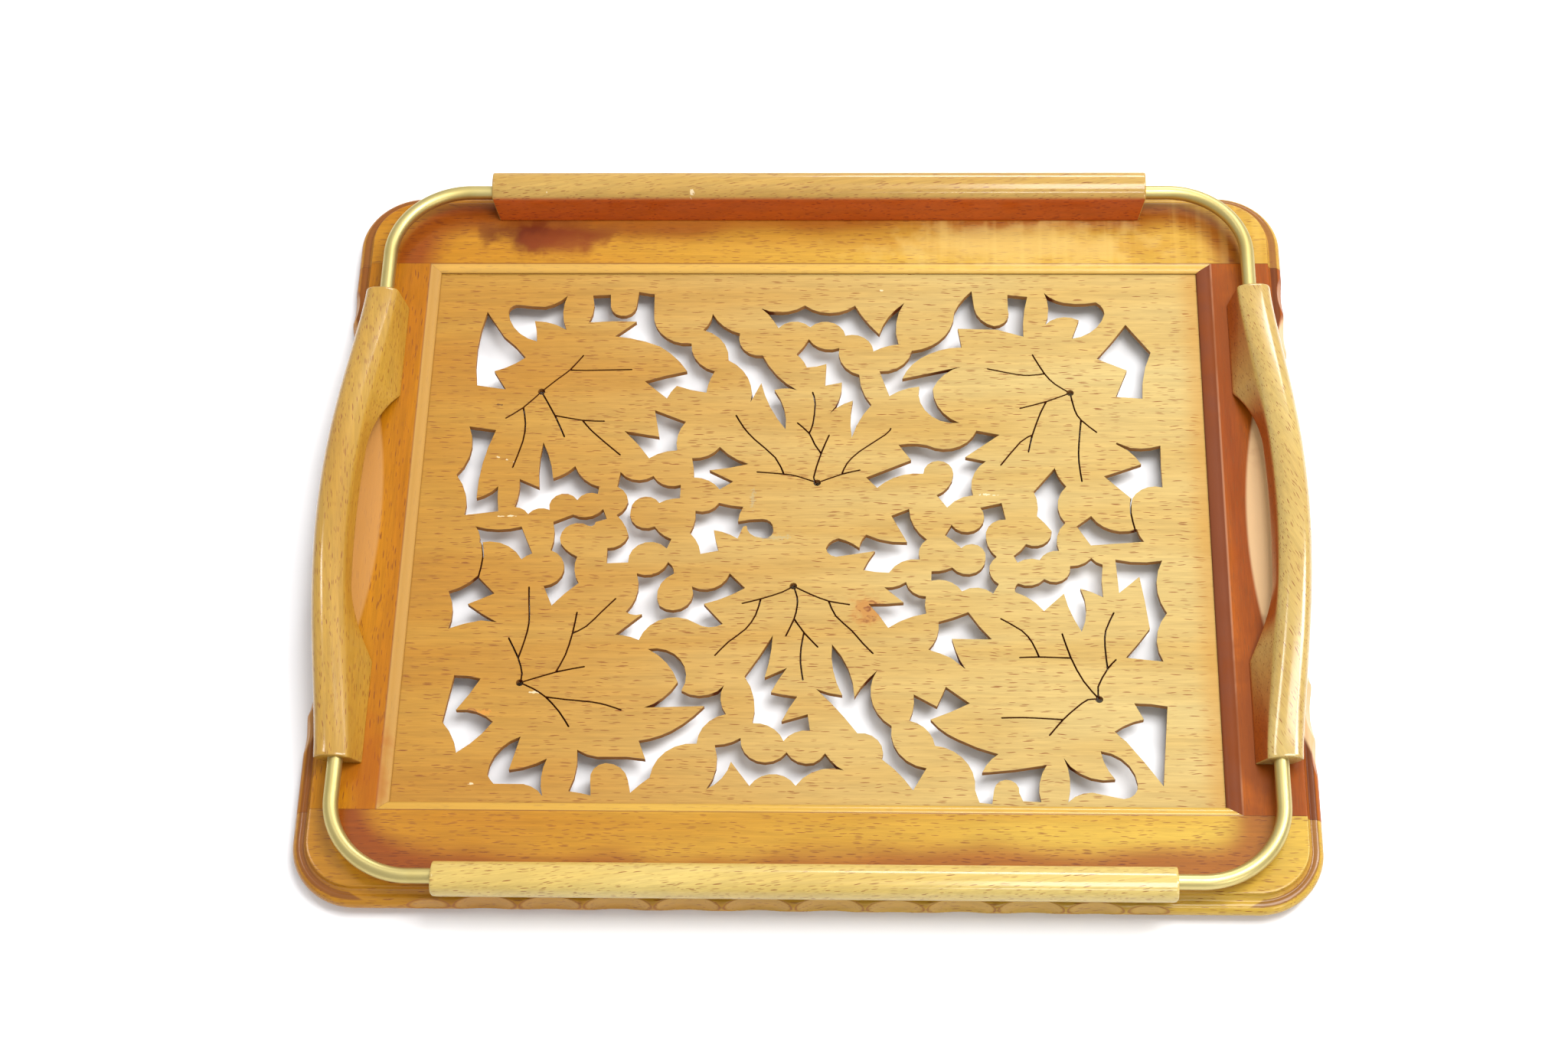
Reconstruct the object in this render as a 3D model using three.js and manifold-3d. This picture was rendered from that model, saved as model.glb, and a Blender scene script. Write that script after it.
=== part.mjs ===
// Wooden serving tray with a fretwork panel, in millimetres, +Z up.
// Origin: middle of the underside. X runs along the tray, Y from the front rail to the back rail.
// A grooved beech frame of two rails and two stiles holds a thin panel that is sawn into vine leaves.
// A low gallery stands on the frame: two bars, two raised grips, and four bent metal corner rods.
import * as THREE from "three";
import { mergeVertices } from "three/addons/utils/BufferGeometryUtils.js";
import Module from "manifold-3d";

const wasm = await Module();
wasm.setup();

// Driving dimensions of the frame
const TRAY_LENGTH = 400;
const TRAY_DEPTH = 340;
const FRAME_THICKNESS = 13;
const STILE_WIDTH = 38.3;
const RAIL_WIDTH = 42.9;
const CORNER_RADIUS = 26.5;
const JOINT_GAP = 0.15;
const FIT = 0.3;

// Edge moulding: a cove under the top arris, a quirk, a round bead and a set-back fillet
const EDGE_WIDTH = 6;
const BEAD_RADIUS = 3.2;
const BEAD_DROP = 6.5;
const QUIRK_ANGLE = 106;

// Sight moulding round the panel: an ovolo with a small step above it
const SIGHT_MOULDING_WIDTH = 4.2;
const OVOLO_WIDTH = 3.3;
const OVOLO_RISE = 1.5;
const SIGHT_FILLET = 0.4;

// Panel and the groove that holds it
const PANEL_THICKNESS = 2.4;
const PANEL_DROP = 2.4;
const TONGUE_DEPTH = 5.5;
const KERF_WIDTH = 0.9;
const HUB_DIAMETER = 3.2;

// Dowels of the four frame joints
const DOWEL_DIAMETER = 6;
const DOWEL_LENGTH = 30;
const DOWEL_END_ROOM = 0.5;
const DOWEL_WALL = 2;

// Gallery: rods, bars and grips
const ROD_DIAMETER = 6;
const ROD_HEIGHT = 8.2;
const ROD_INSET_X = 15.8;
const ROD_INSET_Y = 6.8;
const ROD_BEND_RADIUS = 32.8;
const ROD_HELD_LENGTH = 18;
const GALLERY_SETBACK = 58;
const LEFT_GRIP_SHIFT = -2;
const GRIP_BOW = 8.8;
const GRIP_RISE = 6.5;
const GRIP_FOOT_LENGTH = 48;
const GRIP_END_DROP = 2;
const ARCH_HEIGHT = 9.8;
const END_UNDERCUT = 2.8;

// Section of a bar, and of a grip at its ends: a board that leans outwards under a rounded crown.
// Offsets are measured outwards from the rod's axis, heights up from the frame.
const FOOT_IN = 9.2;
const FOOT_OUT = 4;
const ARRIS_IN = 5.3;
const ARRIS_HEIGHT = 10.5;
const CROWN_OUT = 3;
const CROWN_HEIGHT = 14.8;
const NOSE_OUT = 8.6;
const NOSE_HEIGHT = 8.6;
const FOOT_FLARE = 1.6;

// Countersunk screws that hold the bars and grips from below
const SCREW_SHANK = 3.5;
const SCREW_HEAD = 7;
const SCREW_HEAD_HEIGHT = 2.4;
const SCREW_EDGE = 0.3;
const SCREW_BITE = 6;
const SCREW_TIP_LENGTH = 2.5;
const SCREW_TIP_RADIUS = 0.4;
const SCREWS_PER_BAR = 3;
const SCREW_SIDE = -3.2;

// Faceting
const ARC_TOLERANCE = 0.15;
const CORNER_STEPS = 7;
const ROD_SIDES = 12;
const ROD_STEPS = 14;
const HOLE_SIDES = 10;
const SECTION_STEPS = 3;
const GRIP_STEPS = 18;

// Values that follow from the sizes above
const HALF_LENGTH = TRAY_LENGTH / 2;
const HALF_DEPTH = TRAY_DEPTH / 2;
const SIGHT_X = HALF_LENGTH - STILE_WIDTH;
const SIGHT_Y = HALF_DEPTH - RAIL_WIDTH;
const BUTT_X = SIGHT_X + SIGHT_MOULDING_WIDTH;
const BUTT_Y = SIGHT_Y + SIGHT_MOULDING_WIDTH;
const PANEL_TOP = FRAME_THICKNESS - PANEL_DROP;
const PANEL_BOTTOM = PANEL_TOP - PANEL_THICKNESS;
const ROD_X = HALF_LENGTH - ROD_INSET_X;
const ROD_Y = HALF_DEPTH - ROD_INSET_Y;
const ROD_Z = FRAME_THICKNESS + ROD_HEIGHT;
const BAR_LENGTH = TRAY_LENGTH - 2 * GALLERY_SETBACK;
const GRIP_LENGTH = TRAY_DEPTH - 2 * GALLERY_SETBACK;
const CUT_MARGIN = 1;

const BEECH = new THREE.MeshStandardMaterial({ color: 0xc98a3c, roughness: 0.35 });
const PALE_BEECH = new THREE.MeshStandardMaterial({ color: 0xdcae58, roughness: 0.32 });
const PANEL_BEECH = new THREE.MeshStandardMaterial({ color: 0xdfaa52, roughness: 0.38 });
const BRASS = new THREE.MeshStandardMaterial({ color: 0xb9ab6a, roughness: 0.35, metalness: 1 });
const STEEL = new THREE.MeshStandardMaterial({ color: 0x9a9a98, roughness: 0.4, metalness: 1 });

// A closed geometry as a solid that can be joined and cut.
function solidOf(geometry) {
  const bare = geometry.index ? geometry.toNonIndexed() : geometry.clone();
  bare.deleteAttribute("normal");
  bare.deleteAttribute("uv");
  const merged = mergeVertices(bare, 1e-4);
  return new wasm.Manifold(
    new wasm.Mesh({
      numProp: 3,
      vertProperties: new Float32Array(merged.attributes.position.array),
      triVerts: new Uint32Array(merged.index.array),
    }),
  );
}

// A solid back as geometry with flat-shaded faces.
function geometryOf(solid) {
  const mesh = solid.getMesh();
  const geometry = new THREE.BufferGeometry();
  geometry.setAttribute("position", new THREE.BufferAttribute(mesh.vertProperties, 3));
  geometry.setIndex(new THREE.BufferAttribute(mesh.triVerts, 1));
  const flat = geometry.toNonIndexed();
  flat.computeVertexNormals();
  return flat;
}

// A stack of closed rings with equal counts, walked anticlockwise seen from the last ring, as a solid.
function loft(rings) {
  const count = rings[0].length;
  const positions = rings.flat().flatMap((point) => [point.x, point.y, point.z]);
  const faces = [];
  for (let level = 0; level + 1 < rings.length; level++) {
    for (let i = 0; i < count; i++) {
      const a = level * count + i;
      const b = level * count + ((i + 1) % count);
      faces.push(a, b, b + count, a, b + count, a + count);
    }
  }
  const top = (rings.length - 1) * count;
  for (let i = 1; i + 1 < count; i++) {
    faces.push(0, i + 1, i);
    faces.push(top, top + i, top + i + 1);
  }
  const geometry = new THREE.BufferGeometry();
  geometry.setAttribute("position", new THREE.Float32BufferAttribute(positions, 3));
  geometry.setIndex(faces);
  return solidOf(geometry);
}

// A flat outline raised from one height to another.
function prism(outline, bottom, top) {
  const shape = new THREE.Shape(outline);
  const geometry = new THREE.ExtrudeGeometry(shape, { depth: top - bottom, bevelEnabled: false });
  return solidOf(geometry.translate(0, 0, bottom));
}

function box(x0, x1, y0, y1, z0, z1) {
  const geometry = new THREE.BoxGeometry(x1 - x0, y1 - y0, z1 - z0);
  return solidOf(geometry.translate((x0 + x1) / 2, (y0 + y1) / 2, (z0 + z1) / 2));
}

// A solid of revolution about a vertical axis at (x, y), from [radius, height] pairs.
function turned(profile, x, y) {
  const points = profile.map(([radius, height]) => new THREE.Vector2(radius, height));
  return solidOf(new THREE.LatheGeometry(points, HOLE_SIDES).rotateX(Math.PI / 2).translate(x, y, 0));
}

// Outline of a rectangle with rounded corners, anticlockwise.
function roundedRectangle(halfX, halfY, radius, z) {
  const points = [];
  const corners = [
    [1, 1, 0],
    [-1, 1, 90],
    [-1, -1, 180],
    [1, -1, 270],
  ];
  for (const [sideX, sideY, start] of corners) {
    for (let i = 0; i <= CORNER_STEPS; i++) {
      const angle = THREE.MathUtils.degToRad(start + (90 * i) / CORNER_STEPS);
      const x = sideX * (halfX - radius) + radius * Math.cos(angle);
      const y = sideY * (halfY - radius) + radius * Math.sin(angle);
      points.push(new THREE.Vector3(x, y, z));
    }
  }
  return points;
}

// Outer block of the frame: rounded rectangles stacked along the edge moulding.
function frameBlank() {
  const beadCentre = EDGE_WIDTH - BEAD_RADIUS;
  const profile = [[beadCentre, FRAME_THICKNESS]];
  const beadSteps = 7;
  for (let i = 0; i <= beadSteps; i++) {
    const angle = THREE.MathUtils.degToRad(-90 + ((90 + QUIRK_ANGLE) * i) / beadSteps);
    const outwards = beadCentre + BEAD_RADIUS * Math.cos(angle);
    profile.push([outwards, BEAD_DROP - BEAD_RADIUS * Math.sin(angle)]);
  }
  const [quirkOut, quirkDrop] = profile[profile.length - 1];
  const coveSteps = 3;
  for (let i = 1; i <= coveSteps; i++) {
    const angle = ((Math.PI / 2) * i) / coveSteps;
    profile.push([quirkOut * (1 - Math.sin(angle)), quirkDrop * Math.cos(angle)]);
  }
  const rings = profile.map(([outwards, drop]) => {
    const inset = EDGE_WIDTH - outwards;
    const z = FRAME_THICKNESS - drop;
    return roundedRectangle(HALF_LENGTH - inset, HALF_DEPTH - inset, CORNER_RADIUS - inset, z);
  });
  return loft(rings);
}

function rectangleRing(halfX, halfY, z) {
  const corners = [
    [1, 1],
    [-1, 1],
    [-1, -1],
    [1, -1],
  ];
  return corners.map(([x, y]) => new THREE.Vector3(x * halfX, y * halfY, z));
}

// The opening inside the frame, wider at the top where the sight moulding leans back.
function sightOpening() {
  const profile = [
    [0, -CUT_MARGIN],
    [0, PANEL_TOP + SIGHT_FILLET],
  ];
  const steps = 4;
  for (let i = 1; i <= steps; i++) {
    const angle = ((Math.PI / 2) * i) / steps;
    const z = PANEL_TOP + SIGHT_FILLET + OVOLO_RISE * Math.sin(angle);
    profile.push([OVOLO_WIDTH * (1 - Math.cos(angle)), z]);
  }
  profile.push([SIGHT_MOULDING_WIDTH, FRAME_THICKNESS]);
  profile.push([SIGHT_MOULDING_WIDTH, FRAME_THICKNESS + CUT_MARGIN]);
  return loft(profile.map(([back, z]) => rectangleRing(SIGHT_X + back, SIGHT_Y + back, z)));
}

// The groove that takes the panel's edge all round.
function panelGroove() {
  const halfX = SIGHT_X + TONGUE_DEPTH + FIT;
  const halfY = SIGHT_Y + TONGUE_DEPTH + FIT;
  return box(-halfX, halfX, -halfY, halfY, PANEL_BOTTOM - FIT, PANEL_TOP + FIT);
}

// Plan of a rail on the side of +Y: square shoulders, with the sight moulding mitred between them.
function railPlan() {
  return [
    new THREE.Vector2(-HALF_LENGTH - CUT_MARGIN, BUTT_Y),
    new THREE.Vector2(-BUTT_X, BUTT_Y),
    new THREE.Vector2(-SIGHT_X + CUT_MARGIN, SIGHT_Y - CUT_MARGIN),
    new THREE.Vector2(SIGHT_X - CUT_MARGIN, SIGHT_Y - CUT_MARGIN),
    new THREE.Vector2(BUTT_X, BUTT_Y),
    new THREE.Vector2(HALF_LENGTH + CUT_MARGIN, BUTT_Y),
    new THREE.Vector2(HALF_LENGTH + CUT_MARGIN, HALF_DEPTH + CUT_MARGIN),
    new THREE.Vector2(-HALF_LENGTH - CUT_MARGIN, HALF_DEPTH + CUT_MARGIN),
  ];
}

// Plan of a stile on the side of +X: butts between the rails, its moulding mitred to theirs.
function stilePlan() {
  const butt = BUTT_Y - JOINT_GAP;
  const mitre = JOINT_GAP * Math.SQRT2;
  return [
    new THREE.Vector2(HALF_LENGTH + CUT_MARGIN, -butt),
    new THREE.Vector2(HALF_LENGTH + CUT_MARGIN, butt),
    new THREE.Vector2(BUTT_X + mitre - JOINT_GAP, butt),
    new THREE.Vector2(SIGHT_X - CUT_MARGIN, SIGHT_Y - CUT_MARGIN - mitre),
    new THREE.Vector2(SIGHT_X - CUT_MARGIN, -SIGHT_Y + CUT_MARGIN + mitre),
    new THREE.Vector2(BUTT_X + mitre - JOINT_GAP, -butt),
  ];
}

// Places of the two dowels in one corner joint, along X: a wall away from the groove and the edge.
function dowelPlaces() {
  const aside = DOWEL_WALL + DOWEL_DIAMETER / 2 + FIT;
  return [SIGHT_X + TONGUE_DEPTH + FIT + aside, HALF_LENGTH - EDGE_WIDTH - aside];
}

function cylinderAlongY(diameter, x, z, y0, y1) {
  const geometry = new THREE.CylinderGeometry(diameter / 2, diameter / 2, y1 - y0, HOLE_SIDES);
  return solidOf(geometry.translate(x, (y0 + y1) / 2, z));
}

// Holes for every dowel, in both rails and both stiles.
function dowelHoles() {
  const reach = DOWEL_LENGTH / 2 + DOWEL_END_ROOM;
  const holes = [];
  for (const sideX of [-1, 1]) {
    for (const sideY of [-1, 1]) {
      for (const place of dowelPlaces()) {
        const y = sideY * BUTT_Y;
        const diameter = DOWEL_DIAMETER + 2 * FIT;
        holes.push(cylinderAlongY(diameter, sideX * place, FRAME_THICKNESS / 2, y - reach, y + reach));
      }
    }
  }
  return wasm.Manifold.union(holes);
}

function dowels() {
  const made = [];
  for (const [sideY, end] of [
    [-1, "front"],
    [1, "back"],
  ]) {
    for (const [sideX, side] of [
      [-1, "left"],
      [1, "right"],
    ]) {
      dowelPlaces().forEach((place, i) => {
        const y = sideY * BUTT_Y;
        const half = DOWEL_LENGTH / 2;
        const pin = cylinderAlongY(DOWEL_DIAMETER, sideX * place, FRAME_THICKNESS / 2, y - half, y + half);
        made.push([`dowel_${end}_${side}_${i + 1}`, pin, PALE_BEECH]);
      });
    }
  }
  return made;
}

// Where the screws stand: along each bar, and in the middle of each grip's feet.
function screwPlaces() {
  const places = [];
  const footMiddle = GRIP_LENGTH / 2 - GRIP_FOOT_LENGTH / 2;
  for (const [side, name] of [
    [-1, "front"],
    [1, "back"],
  ]) {
    for (let i = 0; i < SCREWS_PER_BAR; i++) {
      const along = (i / (SCREWS_PER_BAR - 1) - 0.5) * (BAR_LENGTH - 2 * GRIP_FOOT_LENGTH);
      places.push([`bar_screw_${name}_${i + 1}`, along, side * (ROD_Y + SCREW_SIDE)]);
    }
  }
  for (const [side, name] of [
    [-1, "left"],
    [1, "right"],
  ]) {
    const x = side * (ROD_X + SCREW_SIDE);
    const shift = side < 0 ? LEFT_GRIP_SHIFT : 0;
    places.push([`grip_screw_${name}_front`, x, shift - footMiddle]);
    places.push([`grip_screw_${name}_back`, x, shift + footMiddle]);
  }
  return places;
}

// Profile of a countersunk screw whose head starts at a given height, or of its hole when grown.
function screwProfile(bottom, grow) {
  const tip = FRAME_THICKNESS + SCREW_BITE;
  return [
    [0, bottom],
    [SCREW_HEAD / 2 + grow, bottom],
    [SCREW_HEAD / 2 + grow, FIT + SCREW_EDGE],
    [SCREW_SHANK / 2 + grow, FIT + SCREW_HEAD_HEIGHT],
    [SCREW_SHANK / 2 + grow, tip - SCREW_TIP_LENGTH],
    [SCREW_TIP_RADIUS + grow, tip + grow],
    [0, tip + grow],
  ];
}

function screws() {
  return screwPlaces().map(([name, x, y]) => [name, turned(screwProfile(FIT, 0), x, y), STEEL]);
}

function screwHoles() {
  const profile = screwProfile(-CUT_MARGIN, FIT);
  return wasm.Manifold.union(screwPlaces().map(([, x, y]) => turned(profile, x, y)));
}

// Corner rod in the +X +Y corner: a straight, a quarter bend and a straight, swept as one tube.
class CornerPath extends THREE.Curve {
  constructor(startY, endX) {
    super();
    this.straightY = ROD_Y - ROD_BEND_RADIUS - startY;
    this.straightX = ROD_X - ROD_BEND_RADIUS - endX;
    this.arc = (ROD_BEND_RADIUS * Math.PI) / 2;
    this.startY = startY;
    this.total = this.straightY + this.arc + this.straightX;
  }

  getPoint(t, target = new THREE.Vector3()) {
    const run = t * this.total;
    if (run < this.straightY) return target.set(ROD_X, this.startY + run, ROD_Z);
    const turn = Math.min((run - this.straightY) / ROD_BEND_RADIUS, Math.PI / 2);
    const past = Math.max(run - this.straightY - this.arc, 0);
    const x = ROD_X - ROD_BEND_RADIUS * (1 - Math.cos(turn)) - past;
    return target.set(x, ROD_Y - ROD_BEND_RADIUS * (1 - Math.sin(turn)), ROD_Z);
  }
}

function circleShape(radius, sides) {
  const points = [];
  for (let i = 0; i < sides; i++) {
    const angle = (2 * Math.PI * i) / sides;
    points.push(new THREE.Vector2(radius * Math.cos(angle), radius * Math.sin(angle)));
  }
  return new THREE.Shape(points);
}

function cornerRod(sideX, sideY, diameter, extra) {
  const startY = GRIP_LENGTH / 2 - ROD_HELD_LENGTH - extra;
  const endX = BAR_LENGTH / 2 - ROD_HELD_LENGTH - extra;
  const path = new CornerPath(startY, endX);
  const geometry = new THREE.ExtrudeGeometry(circleShape(diameter / 2, ROD_SIDES), {
    extrudePath: path,
    steps: ROD_STEPS,
  });
  const solid = solidOf(geometry);
  const placed = sideX * sideY > 0 ? solid : solid.mirror([1, 0, 0]);
  return sideY > 0 ? placed : placed.rotate([0, 0, 180]);
}

const CORNERS = [
  [-1, -1, "front_left"],
  [1, -1, "front_right"],
  [-1, 1, "back_left"],
  [1, 1, "back_right"],
];

// Section of the gallery as [offset, height] pairs, with the foot, the arris, the crown and the nose.
function gallerySection(bow = 0, rise = 0, footBow = 0, crownDrop = 0) {
  const crown = CROWN_HEIGHT + rise - crownDrop;
  const shape = new THREE.Shape();
  shape.moveTo(-FOOT_IN + footBow, 0);
  shape.lineTo(FOOT_OUT + bow, 0);
  shape.quadraticCurveTo(FOOT_OUT + FOOT_FLARE + bow, rise, NOSE_OUT + bow, NOSE_HEIGHT + rise);
  shape.quadraticCurveTo(NOSE_OUT + bow, crown, CROWN_OUT + bow, crown);
  shape.quadraticCurveTo(-ARRIS_IN / 2 + bow, crown, -ARRIS_IN + bow, ARRIS_HEIGHT + rise);
  return shape.getPoints(SECTION_STEPS);
}

// Rings of a gallery piece. Its ends slant inwards on the way down.
function galleryRings(stations, halfLength, sectionAt, place) {
  return stations.map((along) => {
    const atEnd = Math.abs(along) > halfLength - 1e-6;
    return sectionAt(along).map((point) => {
      const undercut = atEnd ? END_UNDERCUT * Math.max(1 - point.y / ARRIS_HEIGHT, 0) : 0;
      const reach = along - Math.sign(along) * undercut;
      return place(point.x, reach, FRAME_THICKNESS + point.y);
    });
  });
}

function frontBar() {
  const half = BAR_LENGTH / 2;
  const place = (outwards, along, z) => new THREE.Vector3(along, -ROD_Y - outwards, z);
  return loft(galleryRings([half, -half], half, () => gallerySection(), place));
}

// A grip bows outwards and rises between its feet, most of all in the middle, and is flatter at its ends.
function gripSection(along) {
  const swell = Math.pow(1 - Math.pow(along / (GRIP_LENGTH / 2), 2), 1.5);
  const inside = GRIP_LENGTH / 2 - GRIP_FOOT_LENGTH;
  const footBow = 0.95 * GRIP_BOW * THREE.MathUtils.smoothstep(inside - Math.abs(along), 0, inside / 2);
  return gallerySection(GRIP_BOW * swell, GRIP_RISE * swell, footBow, GRIP_END_DROP * (1 - swell));
}

// The finger opening: a flat arch cut through from side to side.
function fingerArch() {
  const half = GRIP_LENGTH / 2 - GRIP_FOOT_LENGTH;
  const shape = new THREE.Shape();
  shape.moveTo(-half, -CUT_MARGIN);
  shape.lineTo(half, -CUT_MARGIN);
  shape.lineTo(half, 0);
  shape.quadraticCurveTo(half * 0.88, ARCH_HEIGHT * 0.6, half * 0.66, ARCH_HEIGHT * 0.8);
  shape.quadraticCurveTo(half * 0.4, ARCH_HEIGHT, 0, ARCH_HEIGHT);
  shape.quadraticCurveTo(-half * 0.4, ARCH_HEIGHT, -half * 0.66, ARCH_HEIGHT * 0.8);
  shape.quadraticCurveTo(-half * 0.88, ARCH_HEIGHT * 0.6, -half, 0);
  const width = 60;
  const geometry = new THREE.ExtrudeGeometry(shape, { depth: width, bevelEnabled: false, curveSegments: 6 });
  geometry.rotateX(Math.PI / 2).rotateZ(Math.PI / 2).translate(ROD_X - width / 2, 0, FRAME_THICKNESS);
  return solidOf(geometry);
}

function rightGrip() {
  const half = GRIP_LENGTH / 2;
  const stations = [];
  for (let i = 0; i <= GRIP_STEPS; i++) stations.push(half - (GRIP_LENGTH * i) / GRIP_STEPS);
  const place = (outwards, along, z) => new THREE.Vector3(ROD_X + outwards, along, z);
  return loft(galleryRings(stations, half, gripSection, place)).subtract(fingerArch());
}

// The fretwork was drawn for this sight size and is stretched to fit another.
const DRAWN_LENGTH = 323.4;
const DRAWN_DEPTH = 254.2;

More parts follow.
